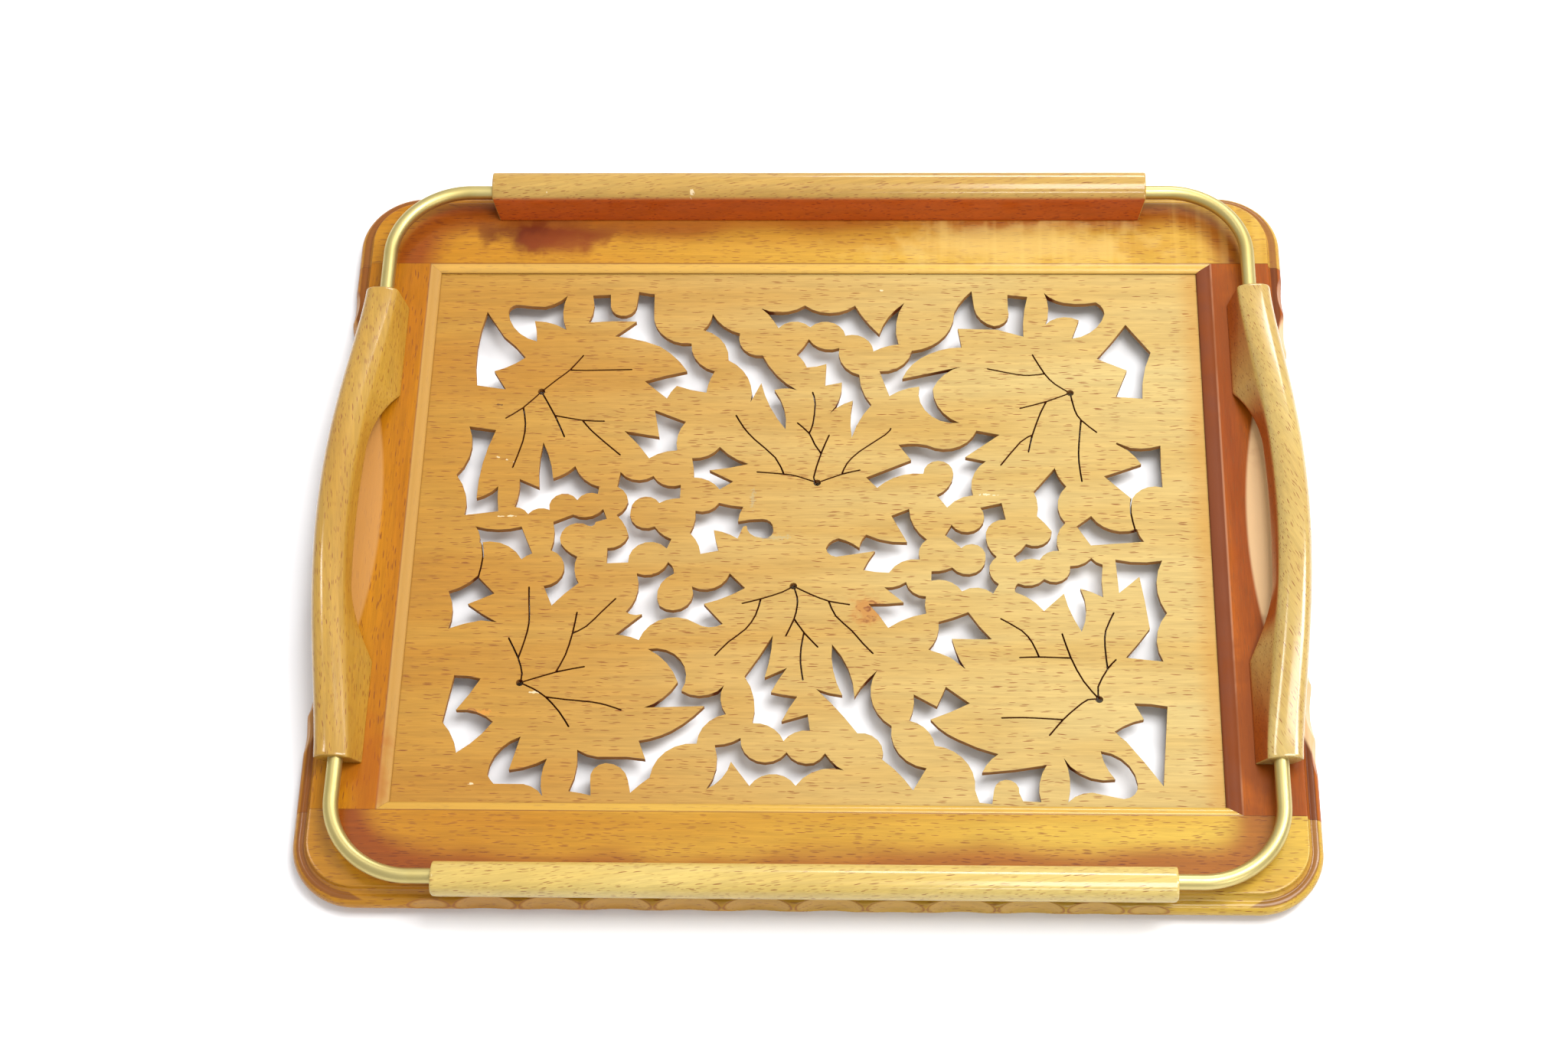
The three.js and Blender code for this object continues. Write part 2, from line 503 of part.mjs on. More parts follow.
// The pattern is the same turned half round, so most cut-outs come twice, the second time turned.
// They were sawn by hand, so no two are quite alike. An outline lists its corners as [x, y, bow]:
// the side to the next corner bows out of the hole by that many millimetres, or into it when the bow
// is negative.
const CUT_OUTS = {
  corner_dart: [
    [
      [-141.7, 107.2, 0], [-133.5, 94.3, 0.5], [-123.6, 83.5, 0.8], [-136.5, 76.4, 0],
      [-130.9, 67.1, 0], [-143.5, 69.2, 2],
    ],
    [
      [129.2, -81.3, 0.4], [142.3, -82.6, 0], [139.4, -117.8, -0.3], [125.5, -98.3, 0.2],
      [121.1, -93.9, 0.8], [132.8, -88.5, 0],
    ],
  ],
  corner_hook: [
    [
      [-107.5, 115.8, -0.9], [-116.9, 109.9, -0.2], [-127.9, 110.9, 1.5], [-132.6, 107.1, 3.2],
      [-119.3, 91.8, 0.3], [-120.9, 102.4, -1.2], [-107, 97.8, -1.7],
    ],
    [
      [102.1, -125, -1.2], [111.6, -120.7, 0], [121.4, -122.9, 2.9], [129.4, -116.9, 3.6],
      [115.3, -102.6, 0.9], [120.7, -115, -3.6], [100.8, -105.7, -1.6],
    ],
  ],
  long_stem: [
    [
      [-96.5, 115.9, 0], [-88.9, 116.3, 0], [-88.5, 109.9, -4.9], [-77.4, 110.2, 0],
      [-76.7, 117.8, 0], [-69.9, 116.5, 0], [-69.7, 106.8, -5.4], [-53, 90.9, -3.1],
      [-42.5, 76.6, -0.6], [-45.7, 65.7, 0.4], [-58.4, 69.1, -0.4], [-62.3, 62.7, 0],
      [-72.1, 71.4, 0.3], [-54.3, 76.6, -1], [-66.3, 89.2, -0.9], [-86, 94.5, 0],
      [-77, 102.2, -0.4], [-97.6, 101.7, -1.3],
    ],
    [
      [91.7, -125, 0], [84.6, -124.6, 0], [83.2, -121.1, -5.1], [73.4, -119.8, 0],
      [72.6, -126, 0], [67.7, -125.4, 0], [66, -120.1, -5.2], [50.4, -100.7, -2.4],
      [40.2, -89.7, -0.8], [42, -77.9, 0], [51.2, -83.3, 0], [54.8, -74.4, 0],
      [64.3, -81.8, 0.3], [48.7, -89.1, -0.8], [59.1, -97.6, -0.5], [75.3, -104.2, -0.8],
      [68.8, -112.4, -0.4], [94.2, -108.8, -1.8],
    ],
  ],
  long_sprig: [
    [
      [-44.4, 106.3, -1.7], [-32.4, 96.1, -4.1], [-22.4, 84.8, -1.7], [-7.4, 67, -0.9],
      [-16.9, 67.1, 1.8], [-11.8, 47.3, 1.4], [-22.6, 70.6, 0], [-27, 60.9, -4],
      [-36.9, 82.2, -3.5], [-48.3, 97.8, -0.8],
    ],
    [
      [41.8, -120.3, -0.8], [29.6, -106.9, -4.2], [19.8, -95.4, -0.6], [3.1, -75.7, -0.4],
      [13.6, -78.5, 1.6], [9.2, -55.4, 2.2], [18.5, -79.3, 0.8], [27.5, -67.1, -5.2],
      [33.3, -92.1, -4.9], [47.1, -110.6, 0],
    ],
  ],
  crest: [
    [
      [-23.7, 109.2, -2.7], [-4.9, 110.8, -3.9], [16.6, 110.7, -0.7], [27.1, 95.8, 1.6],
      [37.8, 112.4, -2.3], [35.4, 90.5, -0.7], [24.7, 86.9, -3.6], [12.7, 95, -4.9],
      [-2.4, 99.4, -3.2], [-16, 98.9, -0.6],
    ],
    [
      [14.8, -111.9, -3.6], [-4.1, -118.7, -5.2], [-22.2, -118.9, 0], [-29.8, -108.3, 1.8],
      [-39.1, -120.4, -2.3], [-36.4, -101, -0.8], [-26.3, -97.8, -7.5], [-8, -104, -2.1],
      [2.8, -108.6, -0.5], [7.2, -104.3, -0.7],
    ],
  ],
  drooping_leaf: [
    [
      [-2.9, 93.2, -2.7], [10.1, 88.7, -3.2], [18.8, 75, -1.3], [24.1, 59.7, -1],
      [16, 43.3, 0.8], [16.2, 61.8, -0.8], [6.5, 55.2, -1.5], [11.5, 71, 0], [4.4, 69.3, 0],
      [4.8, 80.4, 0.4], [-3.5, 78.6, -0.6], [-8.1, 85.3, -0.3],
    ],
  ],
  rising_leaf: [
    [
      [-14.7, -51.4, 0.6], [-17.5, -70.7, 0], [-8.6, -66.2, -0.3], [-14.8, -77.3, -0.2],
      [-4.3, -79.2, -0.3], [-10.3, -90.4, 0], [0, -87.1, 0], [1.1, -94.4, -1.7],
      [-9.3, -99.1, -2.5], [-21.9, -91.2, -2.3], [-25.6, -70.2, -0.3],
    ],
  ],
  wide_sweep: [
    [
      [66.6, 118.4, 0], [67.7, 109.3, -1.8], [76, 100.1, -2.6], [82.1, 108.6, 0],
      [82, 116.4, 0], [90.5, 115.4, -0.8], [88.5, 94.6, 0], [77.5, 98.2, 0], [60.6, 98.7, 0],
      [62.2, 89, -1], [48, 85.4, -1.6], [37, 73, 0], [62.2, 79.2, -2], [49.9, 67.9, -3.1],
      [61.1, 50.7, 6.5], [44.2, 69, -1], [31.6, 64.1, 0], [27.3, 76.8, -3.4], [41, 87.3, -5.2],
      [59.1, 107.1, 0.8],
    ],
    [
      [-68.8, -122.2, 0], [-70, -116.6, -2.1], [-79.1, -109.3, -2.2], [-84.8, -117, 0],
      [-84.3, -123.5, -0.2], [-93.2, -121.7, -1.3], [-90.7, -103.5, -1.2], [-78.2, -106.5, 0.5],
      [-63.6, -107.4, 0], [-66.6, -99.3, -0.6], [-54.1, -95, -0.7], [-41.2, -83.7, 0],
      [-65.3, -84.5, -1.6], [-52.2, -72.9, -1.9], [-64.9, -58, 7.8], [-50.6, -76.8, -3.5],
      [-33.6, -74.3, -1.8], [-32.4, -87.3, -3.1], [-43.6, -100.5, -5], [-61.5, -115.5, -0.2],
    ],
  ],
  small_hook: [
    [
      [97.7, 117.6, -0.9], [106.1, 112.3, -0.7], [119.8, 112.6, 0.9], [123.3, 106.5, 3],
      [109, 93.6, 0], [112.2, 103.1, -2.8], [98, 100.7, -1.5],
    ],
    [
      [-103.3, -124, -1], [-111, -118.7, 0], [-122.8, -118.7, 0.2], [-125.6, -114.6, 3.2],
      [-113.5, -97.8, 0], [-117.2, -112.6, -0.9], [-102.4, -107.4, -1.4],
    ],
  ],
  arrow: [
    [
      [132, 100.9, 0], [142.2, 86.6, -1.3], [137.9, 63.1, 0], [126.7, 64, 0], [131.8, 77.4, 0],
      [119.2, 83.3, -0.3],
    ],
    [
      [-138.7, -105.2, -1.2], [-145.3, -91.5, 0], [-142.1, -70.4, 0.5], [-131.3, -71.9, 0.3],
      [-140.2, -86.1, 1.9], [-125, -91.3, 1],
    ],
  ],
  spur: [
    [
      [-67.1, 56.8, 0], [-53.8, 51, -1.6], [-56.9, 36.7, -1], [-68.5, 32.8, -0.5],
      [-79.5, 46.3, 0], [-64.7, 43.5, 0],
    ],
    [
      [52, -44.7, -0.3], [64, -40.2, -0.4], [73.4, -52.8, 0], [57.3, -52.6, -0.6],
      [62.8, -66.4, 0], [56.9, -61.3, -0.2], [47.8, -57.6, -1.5],
    ],
  ],
  edge_flag: [
    [
      [-145, 48.4, 0], [-133.6, 46.6, -1.6], [-139.4, 13, -0.8], [-130.8, 18.8, -0.2],
      [-129.9, 6.6, 0], [-143.8, 4.7, -2.2], [-148.7, 24.4, -3.4],
    ],
    [
      [123.9, -15.3, -1.1], [142.9, -15.7, -3.2], [143.9, -40.3, -3.4], [141.6, -62.5, 0],
      [126.6, -60.8, -0.2], [136.7, -47.4, -0.2], [133.4, -23.4, 0], [125, -31, 0],
    ],
  ],
  thorned_leaf: [
    [
      [-113.3, 40.6, 0.8], [-108.1, 22.8, -0.7], [-99.2, 28.8, -1.8], [-88.6, 18.7, 0],
      [-89, 15.2, -1.8], [-97.4, 12.2, -5.5], [-108.6, 7.3, -1.8], [-117.4, 5.3, -0.9],
      [-123.3, 8.7, -0.7], [-122, 22.4, 0], [-113.6, 18.3, 0.8],
    ],
    [
      [84.2, -26.7, -2], [94.9, -24.6, -4.2], [105.5, -18.5, -1.1], [114.2, -14.6, -0.5],
      [118.7, -17.7, -0.5], [118.5, -33.1, -0.3], [109.4, -29, 2.1], [109.4, -49, 0.8],
      [102.7, -31.4, 0], [94.5, -39.6, -1.1], [83, -30.8, 0.6],
    ],
  ],
  twin_leaf: [
    [
      [-80.1, 26, -3], [-66.3, 24.1, -2.4], [-54.7, 19.8, 0], [-54.8, 13.2, -0.7],
      [-63.2, 10.9, -4.7], [-74.9, 7.5, -4.3], [-64.7, -0.4, -0.8], [-57.5, -6.4, 0],
      [-59.2, -11, -6.3], [-74.8, -17.7, 0], [-83.6, -18.1, 0], [-83.7, -10.9, -1.9],
      [-75.3, -4.6, -0.8], [-80.7, 5, -0.9], [-76.2, 11.7, -1.2], [-81.1, 18.8, 0],
    ],
    [
      [74.1, -31.6, -2.3], [61.5, -30.6, -2.4], [49.1, -25.7, 0], [49.2, -21.2, -0.6],
      [57.6, -19.3, -5.3], [71.2, -15, -4.2], [61.3, -10.2, -0.3], [54.7, -4.1, 0],
      [57.4, 0.9, -7.7], [69.3, 9.2, 0], [78.1, 11.5, 0], [79.7, 3.5, -3], [71.5, -5.4, -1],
      [75.8, -14.3, -0.4], [72.8, -18.6, -1.4], [76.5, -27.1, 0],
    ],
  ],
  small_spur: [
    [
      [-39.1, 38.5, -1], [-26.8, 30.1, 0.4], [-43, 27, 0], [-32.9, 21.5, 0],
      [-38.5, 17.6, -1.6], [-49.4, 23.4, -0.3], [-50.5, 32.9, -1.7],
    ],
    [
      [31.7, -47.7, -0.4], [23.6, -36.6, -0.3], [37.9, -35.9, 0], [30, -28.9, -0.9],
      [38.8, -26.3, -1.9], [46.9, -33, -0.5], [47.1, -41, -1],
    ],
  ],
  vine_fork: [
    [
      [68.1, 47, 0], [77.7, 44.9, 0], [63.3, 33.8, 0], [71.9, 31.8, -2.9], [66.4, 15.2, -1.3],
      [55.7, 9.2, 0], [51.3, 15.2, -1.8], [58.3, 25.7, -6.3], [45.9, 25.6, -2.4],
      [26.8, 18.6, 0], [22.1, 23.7, 0], [40.8, 32.3, 0], [35.5, 39.8, 0.7], [47.4, 39.7, -5.1],
    ],
    [
      [-68.7, -53.9, -0.6], [-78.5, -51.5, 0], [-68, -41.9, 0.9], [-74.7, -40.9, -2.5],
      [-71, -22.8, -3], [-58.4, -17.4, 0.8], [-55.8, -22.9, -3.4], [-61.1, -37.9, -6.3],
      [-48.2, -28.9, -4], [-33, -22.6, 0], [-26.5, -29.5, 0.7], [-43, -37, 0],
      [-35, -46.3, 1.7], [-46, -46, -6.2],
    ],
  ],
  edge_pennant: [
    [
      [126.3, 41.2, 0], [132, 38.6, -0.8], [144.4, 39.8, -0.2], [144.5, 19.3, -2.6],
      [131.7, 13.6, 0], [120.5, 24.6, 0], [136.1, 30.6, -0.4], [130.8, 37.3, 0], [126, 40.4, 0],
    ],
    [
      [-136.2, -24.3, 0], [-128.6, -32.6, 0], [-139.1, -37.6, -0.3], [-126.6, -46, 0],
      [-133.2, -45.2, -0.4], [-146.3, -49.1, -1.7], [-147.5, -31.6, -1],
    ],
  ],
  snake: [
    [
      [100.3, 28.6, -0.6], [104.9, 19.6, -3.4], [104.1, 2, -2.1], [101.2, -11.4, -1.5],
      [93.2, -15.7, -1.2], [84.2, -17, 0], [82.6, -13.8, -0.4], [87.8, -8.1, -3.5],
      [98.4, -2.1, -0.3], [92.5, 5.2, -1], [91.3, 17, 0],
    ],
    [
      [-104.9, -38.1, 0], [-108.8, -28.9, -7], [-107, -12, -1], [-106.7, 1.6, 0],
      [-98.8, 5.2, -2.5], [-86.4, 7.9, 0], [-84.6, 3.1, 0], [-89.2, 1.6, 1], [-92, -0.3, -5.1],
      [-103, -8.7, -0.7], [-95.8, -15, -1.5], [-94.5, -27.5, -0.4],
    ],
  ],
  wave: [
    [
      [114.7, 5.4, -3.7], [133.2, -0.8, -0.4], [136, -6.9, 0], [114.2, -8.7, 0],
      [108.6, 0.4, 0],
    ],
    [
      [-118.7, -16.4, -3.5], [-136.6, -8.5, -0.9], [-138.8, -0.7, -1.5], [-119.7, -0.7, 0],
      [-114.4, -13.6, -0.3],
    ],
  ],
  bud_and_drop: [
    [
      [-38.5, 11.1, -0.3], [-28.4, 9.2, -0.4], [-30.4, 2.1, 0.3], [-20.4, 3.4, 1.4],
      [-15.8, -1.2, 2.3], [-21.2, -5.5, 1.6], [-26.8, 0.1, 0], [-28.2, -0.4, 0],
      [-30.3, -6.1, -0.6], [-40.2, -2.1, -0.2], [-37.9, -11.9, 0], [-45.3, -13.5, -1],
      [-50.1, -3.5, -0.8], [-48.1, 7.2, -1.9],
    ],
    [
      [32.7, 5.2, 0], [40, 8.5, -1.9], [47.4, -6.2, -1.7], [44.5, -15.7, -2.3],
      [31.9, -22, 0.3], [21.3, -20.8, 0.3], [26.1, -11.8, 0], [10.2, -14.6, 1], [6, -10.6, 1],
      [11, -5.7, 0.6], [19.7, -10.3, 0.6], [22.4, -3.9, -1.2], [39.2, -7.5, 0],
    ],
  ],
};

// Sawn veins: from a drilled hub, each kerf follows a smooth line through its points.
const LEAF_VEINS = {
  back_left: {
    hub: [-115.7, 66],
    veins: [
      [[-115.7, 66], [-109.3, 72.4], [-104.3, 77.1], [-98.9, 84.6]],
      [[-104.3, 77.1], [-97.1, 76.9], [-77.9, 77.4]],
      [[-115.7, 66], [-122.9, 58], [-130, 52.6]],
      [[-122.9, 58], [-121.5, 50], [-122, 41], [-125.4, 28.1]],
      [[-115.7, 66], [-109.3, 54], [-104.6, 43.3]],
      [[-109.3, 54], [-97.5, 51.6], [-88.2, 51.2]],
      [[-97.5, 51.6], [-93.6, 46.7], [-87.1, 40.3], [-80.7, 34.4]],
    ],
  },
  back_right: {
    hub: [107.6, 65.9],
    veins: [
      [[107.6, 65.9], [101.4, 70.3], [97.1, 75.6], [92.1, 85.3]],
      [[97.1, 75.6], [90.7, 74.8], [85, 75.3], [73, 78.1]],
      [[107.6, 65.9], [97.6, 61.6], [86.4, 58.1]],
      [[97.6, 61.6], [95, 56], [91.4, 44.9], [89.6, 36.4]],
      [[91.4, 44.9], [86.4, 41.4], [78, 29.9]],
      [[107.6, 65.9], [109.3, 57.4], [111.8, 52.4], [118.2, 46.2]],
      [[111.8, 52.4], [110.6, 40], [110.4, 31.7], [111.4, 22.1]],
    ],
  },
  back_middle: {
    hub: [1.9, 21],
    veins: [
      [[1.9, 21], [0.4, 23.7], [3.3, 35.4], [6.5, 44.5]],
      [[3.3, 35.4], [0.5, 40], [-1.9, 45.4], [-6.9, 50.6]],
      [[-1.9, 45.4], [-0.4, 50], [0.4, 60.2], [-0.8, 66]],
      [[1.9, 21], [-6.2, 24.1], [-12, 25.2], [-23.2, 26.2]],
      [[-12, 25.2], [-15.8, 33.3], [-24.6, 42.2], [-29.2, 47.9], [-32.8, 54.3]],
      [[1.9, 21], [12, 25.2], [19.6, 27.3]],
      [[12, 25.2], [14.2, 30.6], [19.2, 36.4], [30, 44.8], [32.3, 47.9]],
    ],
  },
  front_left: {
    hub: [-115.5, -73.7],
    veins: [
      [[-115.5, -73.7], [-114.9, -69.5], [-116.9, -62.5], [-121.4, -53.2]],
      [[-116.9, -62.5], [-114.8, -54], [-113.6, -46], [-114.2, -37], [-114.7, -29.5]],
      [[-115.5, -73.7], [-101.4, -68.8], [-90, -66.2]],
      [[-101.4, -68.8], [-98, -61], [-95.7, -51], [-94.4, -41.2]],
      [[-95.7, -51], [-90.3, -47.7], [-84.5, -41], [-79, -34.7]],
      [[-115.5, -73.7], [-110.2, -76.2], [-104.8, -80], [-99, -86.5], [-94.7, -93.3]],
      [[-104.8, -80], [-97, -81.1], [-86, -82.2], [-80, -83.6], [-74.2, -85.7]],
    ],
  },
  front_right: {
    hub: [115.5, -79.7],
    veins: [
      [[115.5, -79.7], [109.5, -71.5], [104.8, -61.1], [101.5, -50]],
      [[104.8, -61.1], [92.1, -60.7], [84.3, -61]],
      [[92.1, -60.7], [89.4, -54], [85.4, -48.7], [77, -43.2]],
      [[115.5, -79.7], [115.2, -74], [119.2, -66], [122.7, -61.7]],
      [[119.2, -66], [118.5, -56], [119, -48.5], [122.5, -40.2]],
      [[115.5, -79.7], [111, -79.8], [106, -83.8], [101, -88.8], [95.5, -95.8]],
      [[101, -88.8], [93, -88.3], [85, -88], [76.8, -88.2]],
    ],
  },
  front_middle: {
    hub: [-6.9, -28.5],
    veins: [
      [[-6.9, -28.5], [-5.3, -33.5], [-5.2, -38], [-6.3, -43.7], [-9.5, -51.7]],
      [[-6.3, -43.7], [-2.2, -50], [3.5, -56.7]],
      [[-2.2, -50], [-3.2, -57], [-3.3, -64], [-2.2, -71.7]],
      [[-6.9, -28.5], [0, -32.2], [7.5, -35.4], [16, -37]],
      [[7.5, -35.4], [10.5, -42.3], [17, -49], [21.5, -54.8], [25.7, -59.5]],
      [[-6.9, -28.5], [-11.5, -31.4], [-20, -34.5], [-27.5, -36.7]],
      [[-20, -34.5], [-21.9, -42], [-25.8, -48.6], [-32.5, -54.5], [-37.8, -60.8]],
    ],
  },
};

// Two single kerfs by which the saw passed from one cut-out to the next.
const LINK_KERFS = [
  [[131.4, 13.8], [131, 7], [132.6, -1.7]],
  [[-136, -6.5], [-134.6, -15], [-135.8, -24.8]],
];

// A point of the drawing on the panel as built.
function onPanel([x, y]) {
  return new THREE.Vector2((x * 2 * SIGHT_X) / DRAWN_LENGTH, (y * 2 * SIGHT_Y) / DRAWN_DEPTH);
}

// Facets for an arc of a chord and a bow, so that none strays from it by more than the tolerance.
function arcSteps(chord, bow) {
  const height = Math.abs(bow);
  const radius = (chord * chord) / (8 * height) + height / 2;
  const sweep = 4 * Math.atan((2 * height) / chord);
  return Math.max(2, Math.ceil(sweep / (2 * Math.acos(1 - ARC_TOLERANCE / radius))));
}

// Points of a closed outline whose sides are straight or bowed.
function bowedOutline(corners) {
  const area = THREE.ShapeUtils.area(corners.map(([x, y]) => new THREE.Vector2(x, y)));
  const outwards = Math.sign(area);
  const points = [];
  corners.forEach(([x0, y0, bow], i) => {
    const [x1, y1] = corners[(i + 1) % corners.length];
    const chord = Math.hypot(x1 - x0, y1 - y0);
    points.push([x0, y0]);
    if (!bow) return;
    const radius = (chord * chord) / (8 * bow) + bow / 2;
    const halfSweep = 2 * Math.atan((2 * bow) / chord);
    const steps = arcSteps(chord, bow);
    const along = [(x1 - x0) / chord, (y1 - y0) / chord];
    const aside = [along[1] * outwards, -along[0] * outwards];
    for (let k = 1; k < steps; k++) {
      const angle = halfSweep * ((2 * k) / steps - 1);
      const run = chord / 2 + radius * Math.sin(angle);
      const rise = radius * (Math.cos(angle) - Math.cos(halfSweep));
      points.push([x0 + along[0] * run + aside[0] * rise, y0 + along[1] * run + aside[1] * rise]);
    }
  });
  return points;
}

// Outline of a saw kerf along a smooth line, with its ends rounded.
function kerfOutline(points) {
  const curve = new THREE.SplineCurve(points.map(onPanel));
  const steps = 2 * (points.length - 1);
  const half = KERF_WIDTH / 2;
  const left = [];
  const right = [];
  for (let i = 0; i <= steps; i++) {
    const at = curve.getPoint(i / steps);
    const along = curve.getTangent(i / steps);
    left.push(new THREE.Vector2(at.x - along.y * half, at.y + along.x * half));
    right.push(new THREE.Vector2(at.x + along.y * half, at.y - along.x * half));
  }
  const tip = curve.getPoint(1).addScaledVector(curve.getTangent(1), half);
  return [...right, tip, ...left.reverse()];
}

// Every hole of the fretwork as one cutter.
function fretwork() {
  const bottom = PANEL_BOTTOM - CUT_MARGIN;
  const top = PANEL_TOP + CUT_MARGIN;
  const cuts = [];
  const saw = (outline) => cuts.push(prism(outline, bottom, top));
  for (const outlines of Object.values(CUT_OUTS)) {
    for (const outline of outlines) saw(bowedOutline(outline).map(onPanel));
  }
  const radius = HUB_DIAMETER / 2;
  const drill = [
    [0, bottom],
    [radius, bottom],
    [radius, top],
    [0, top],
  ];
  for (const { hub, veins } of Object.values(LEAF_VEINS)) {
    for (const vein of veins) saw(kerfOutline(vein));
    const { x, y } = onPanel(hub);
    cuts.push(turned(drill, x, y));
  }
  LINK_KERFS.forEach((kerf) => saw(kerfOutline(kerf)));
  return wasm.Manifold.union(cuts);
}

function fretworkPanel() {
  const halfX = SIGHT_X + TONGUE_DEPTH;
  const halfY = SIGHT_Y + TONGUE_DEPTH;
  return box(-halfX, halfX, -halfY, halfY, PANEL_BOTTOM, PANEL_TOP).subtract(fretwork());
}

// The tray, piece by piece
const tray = new THREE.Group();
tray.name = "wooden_tray";

function addPiece(name, solid, material) {
  const mesh = new THREE.Mesh(geometryOf(solid), material);
  mesh.name = name;
  tray.add(mesh);
}

const everyScrewHole = screwHoles();
const frame = frameBlank()
  .subtract(sightOpening())
  .subtract(panelGroove())
  .subtract(dowelHoles())
  .subtract(everyScrewHole);
const above = FRAME_THICKNESS + CUT_MARGIN;
const backRail = frame.intersect(prism(railPlan(), -CUT_MARGIN, above));
const frontRail = frame.intersect(prism(railPlan(), -CUT_MARGIN, above).rotate([0, 0, 180]));
const rightStile = frame.intersect(prism(stilePlan(), -CUT_MARGIN, above));
const leftStile = frame.intersect(prism(stilePlan(), -CUT_MARGIN, above).rotate([0, 0, 180]));
addPiece("front_rail", frontRail, BEECH);
addPiece("back_rail", backRail, BEECH);
addPiece("left_stile", leftStile, BEECH);
addPiece("right_stile", rightStile, BEECH);
addPiece("fretwork_panel", fretworkPanel(), PANEL_BEECH);

const rodBores = wasm.Manifold.union(
  CORNERS.map(([sideX, sideY]) => cornerRod(sideX, sideY, ROD_DIAMETER + 2 * FIT, FIT)),
);
const gallery = [
  ["front_bar", frontBar()],
  ["back_bar", frontBar().rotate([0, 0, 180])],
  ["right_grip", rightGrip()],
  ["left_grip", rightGrip().rotate([0, 0, 180]).translate([0, LEFT_GRIP_SHIFT, 0])],
];
for (const [name, solid] of gallery) {
  addPiece(name, solid.subtract(rodBores).subtract(everyScrewHole), PALE_BEECH);
}
for (const [sideX, sideY, corner] of CORNERS) {
  addPiece(`corner_rod_${corner}`, cornerRod(sideX, sideY, ROD_DIAMETER, 0), BRASS);
}
[...dowels(), ...screws()].forEach(([name, solid, material]) => addPiece(name, solid, material));

export default tray;
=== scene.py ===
"""A beech serving tray with a fretwork panel, carved edges, two raised grips and brass corner rods.

Sizes are in millimetres and turned into metres where a mesh is made. The tray lies on z = 0 with its
long side along x and its front towards -y.
"""

import logging
import math
from dataclasses import dataclass, field
from enum import Enum

import bmesh
import bpy
import numpy as np
from mathutils import Matrix, Vector
from mathutils.geometry import tessellate_polygon


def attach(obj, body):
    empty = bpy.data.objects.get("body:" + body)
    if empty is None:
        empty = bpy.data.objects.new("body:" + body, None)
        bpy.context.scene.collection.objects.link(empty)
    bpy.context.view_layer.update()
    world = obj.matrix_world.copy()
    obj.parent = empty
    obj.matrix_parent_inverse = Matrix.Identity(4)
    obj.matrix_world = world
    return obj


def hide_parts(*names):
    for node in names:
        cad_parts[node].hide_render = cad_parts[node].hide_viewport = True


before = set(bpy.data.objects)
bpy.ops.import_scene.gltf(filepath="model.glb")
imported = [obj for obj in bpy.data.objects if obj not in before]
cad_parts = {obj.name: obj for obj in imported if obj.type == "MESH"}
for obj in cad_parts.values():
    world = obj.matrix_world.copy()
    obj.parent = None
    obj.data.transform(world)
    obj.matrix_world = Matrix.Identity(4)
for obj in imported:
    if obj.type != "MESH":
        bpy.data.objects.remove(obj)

log = logging.getLogger("tray")

MM = 0.001
MERGE = 2e-6
ROD_X = 184.2
ROD_Y = 163.2
ROD_BEND = 32.8
PANEL_TOP = 10.6
PANEL_BOTTOM = 8.2
Array = np.ndarray
Colour = tuple[float, float, float]
Point = tuple[float, float, float]
Pair = tuple[float, float]
Socket = bpy.types.NodeSocket
Sockets = dict[str, Socket]
Value = Socket | float | tuple[float, ...]


class Grain(Enum):
    """Direction in which a board's fibres run."""

    ALONG_X = 0.0
    ALONG_Y = math.pi / 2


class Side(Enum):
    """Which edge of the tray a piece stands on, as its outward direction."""

    FRONT = (0, -1)
    BACK = (0, 1)
    LEFT = (-1, 0)
    RIGHT = (1, 0)

    @property
    def word(self) -> str:
        """The side's name as the pieces' names have it."""
        return self.name.lower()

    @property
    def sign(self) -> int:
        """1 for the back and the right, -1 for the front and the left."""
        return sum(self.value)

    @property
    def is_short(self) -> bool:
        """Whether it is the left or the right."""
        return self.value[1] == 0


def bezier(start: Array, control: Array, end: Array, t: Array) -> Array:
    """Quadratic curve: (1 - t)^2 start + 2 t (1 - t) control + t^2 end."""
    return (1 - t) ** 2 * start + 2 * t * (1 - t) * control + t**2 * end


def smoothstep(value: Array, low: float, high: float) -> Array:
    """Smooth rise from 0 at low to 1 at high: 3 q^2 - 2 q^3."""
    q = np.clip((value - low) / (high - low), 0, 1)
    return q * q * (3 - 2 * q)


def pairs(first: Array | float, second: Array | float) -> Array:
    """The two values side by side on a new last axis."""
    return np.stack(np.broadcast_arrays(first, second), axis=-1)


def circle(count: int) -> Array:
    """Points evenly round a circle of radius 1: (cos a, sin a), of shape (count, 2)."""
    a = np.linspace(0, 2 * math.pi, count, endpoint=False)
    return pairs(np.cos(a), np.sin(a))


def level_ring(centre: Pair, radius: float, height: float, count: int) -> Array:
    """A circle in plan at one height.

    Args:
        centre: its middle.
        radius: its radius.
        height: its height.
        count: number of points.

    Returns:
        Points of shape (count, 3).
    """
    plan = np.array(centre) + radius * circle(count)
    return np.concatenate([plan, np.full((count, 1), height)], axis=-1)


def grid_faces(rows: int, cols: int, closed: bool) -> Array:
    """Quads of a grid of points.

    Args:
        rows: number of rows.
        cols: number of points in a row.
        closed: whether each row's last point joins its first.

    Returns:
        Array of point numbers, four for each quad.
    """
    row = np.arange(rows - 1)[:, None] * cols
    col = np.arange(cols if closed else cols - 1)[None, :]
    following = (col + 1) % cols
    quads = np.stack([row + col, row + following, row + cols + following, row + cols + col], axis=-1)
    return quads.reshape(-1, 4)


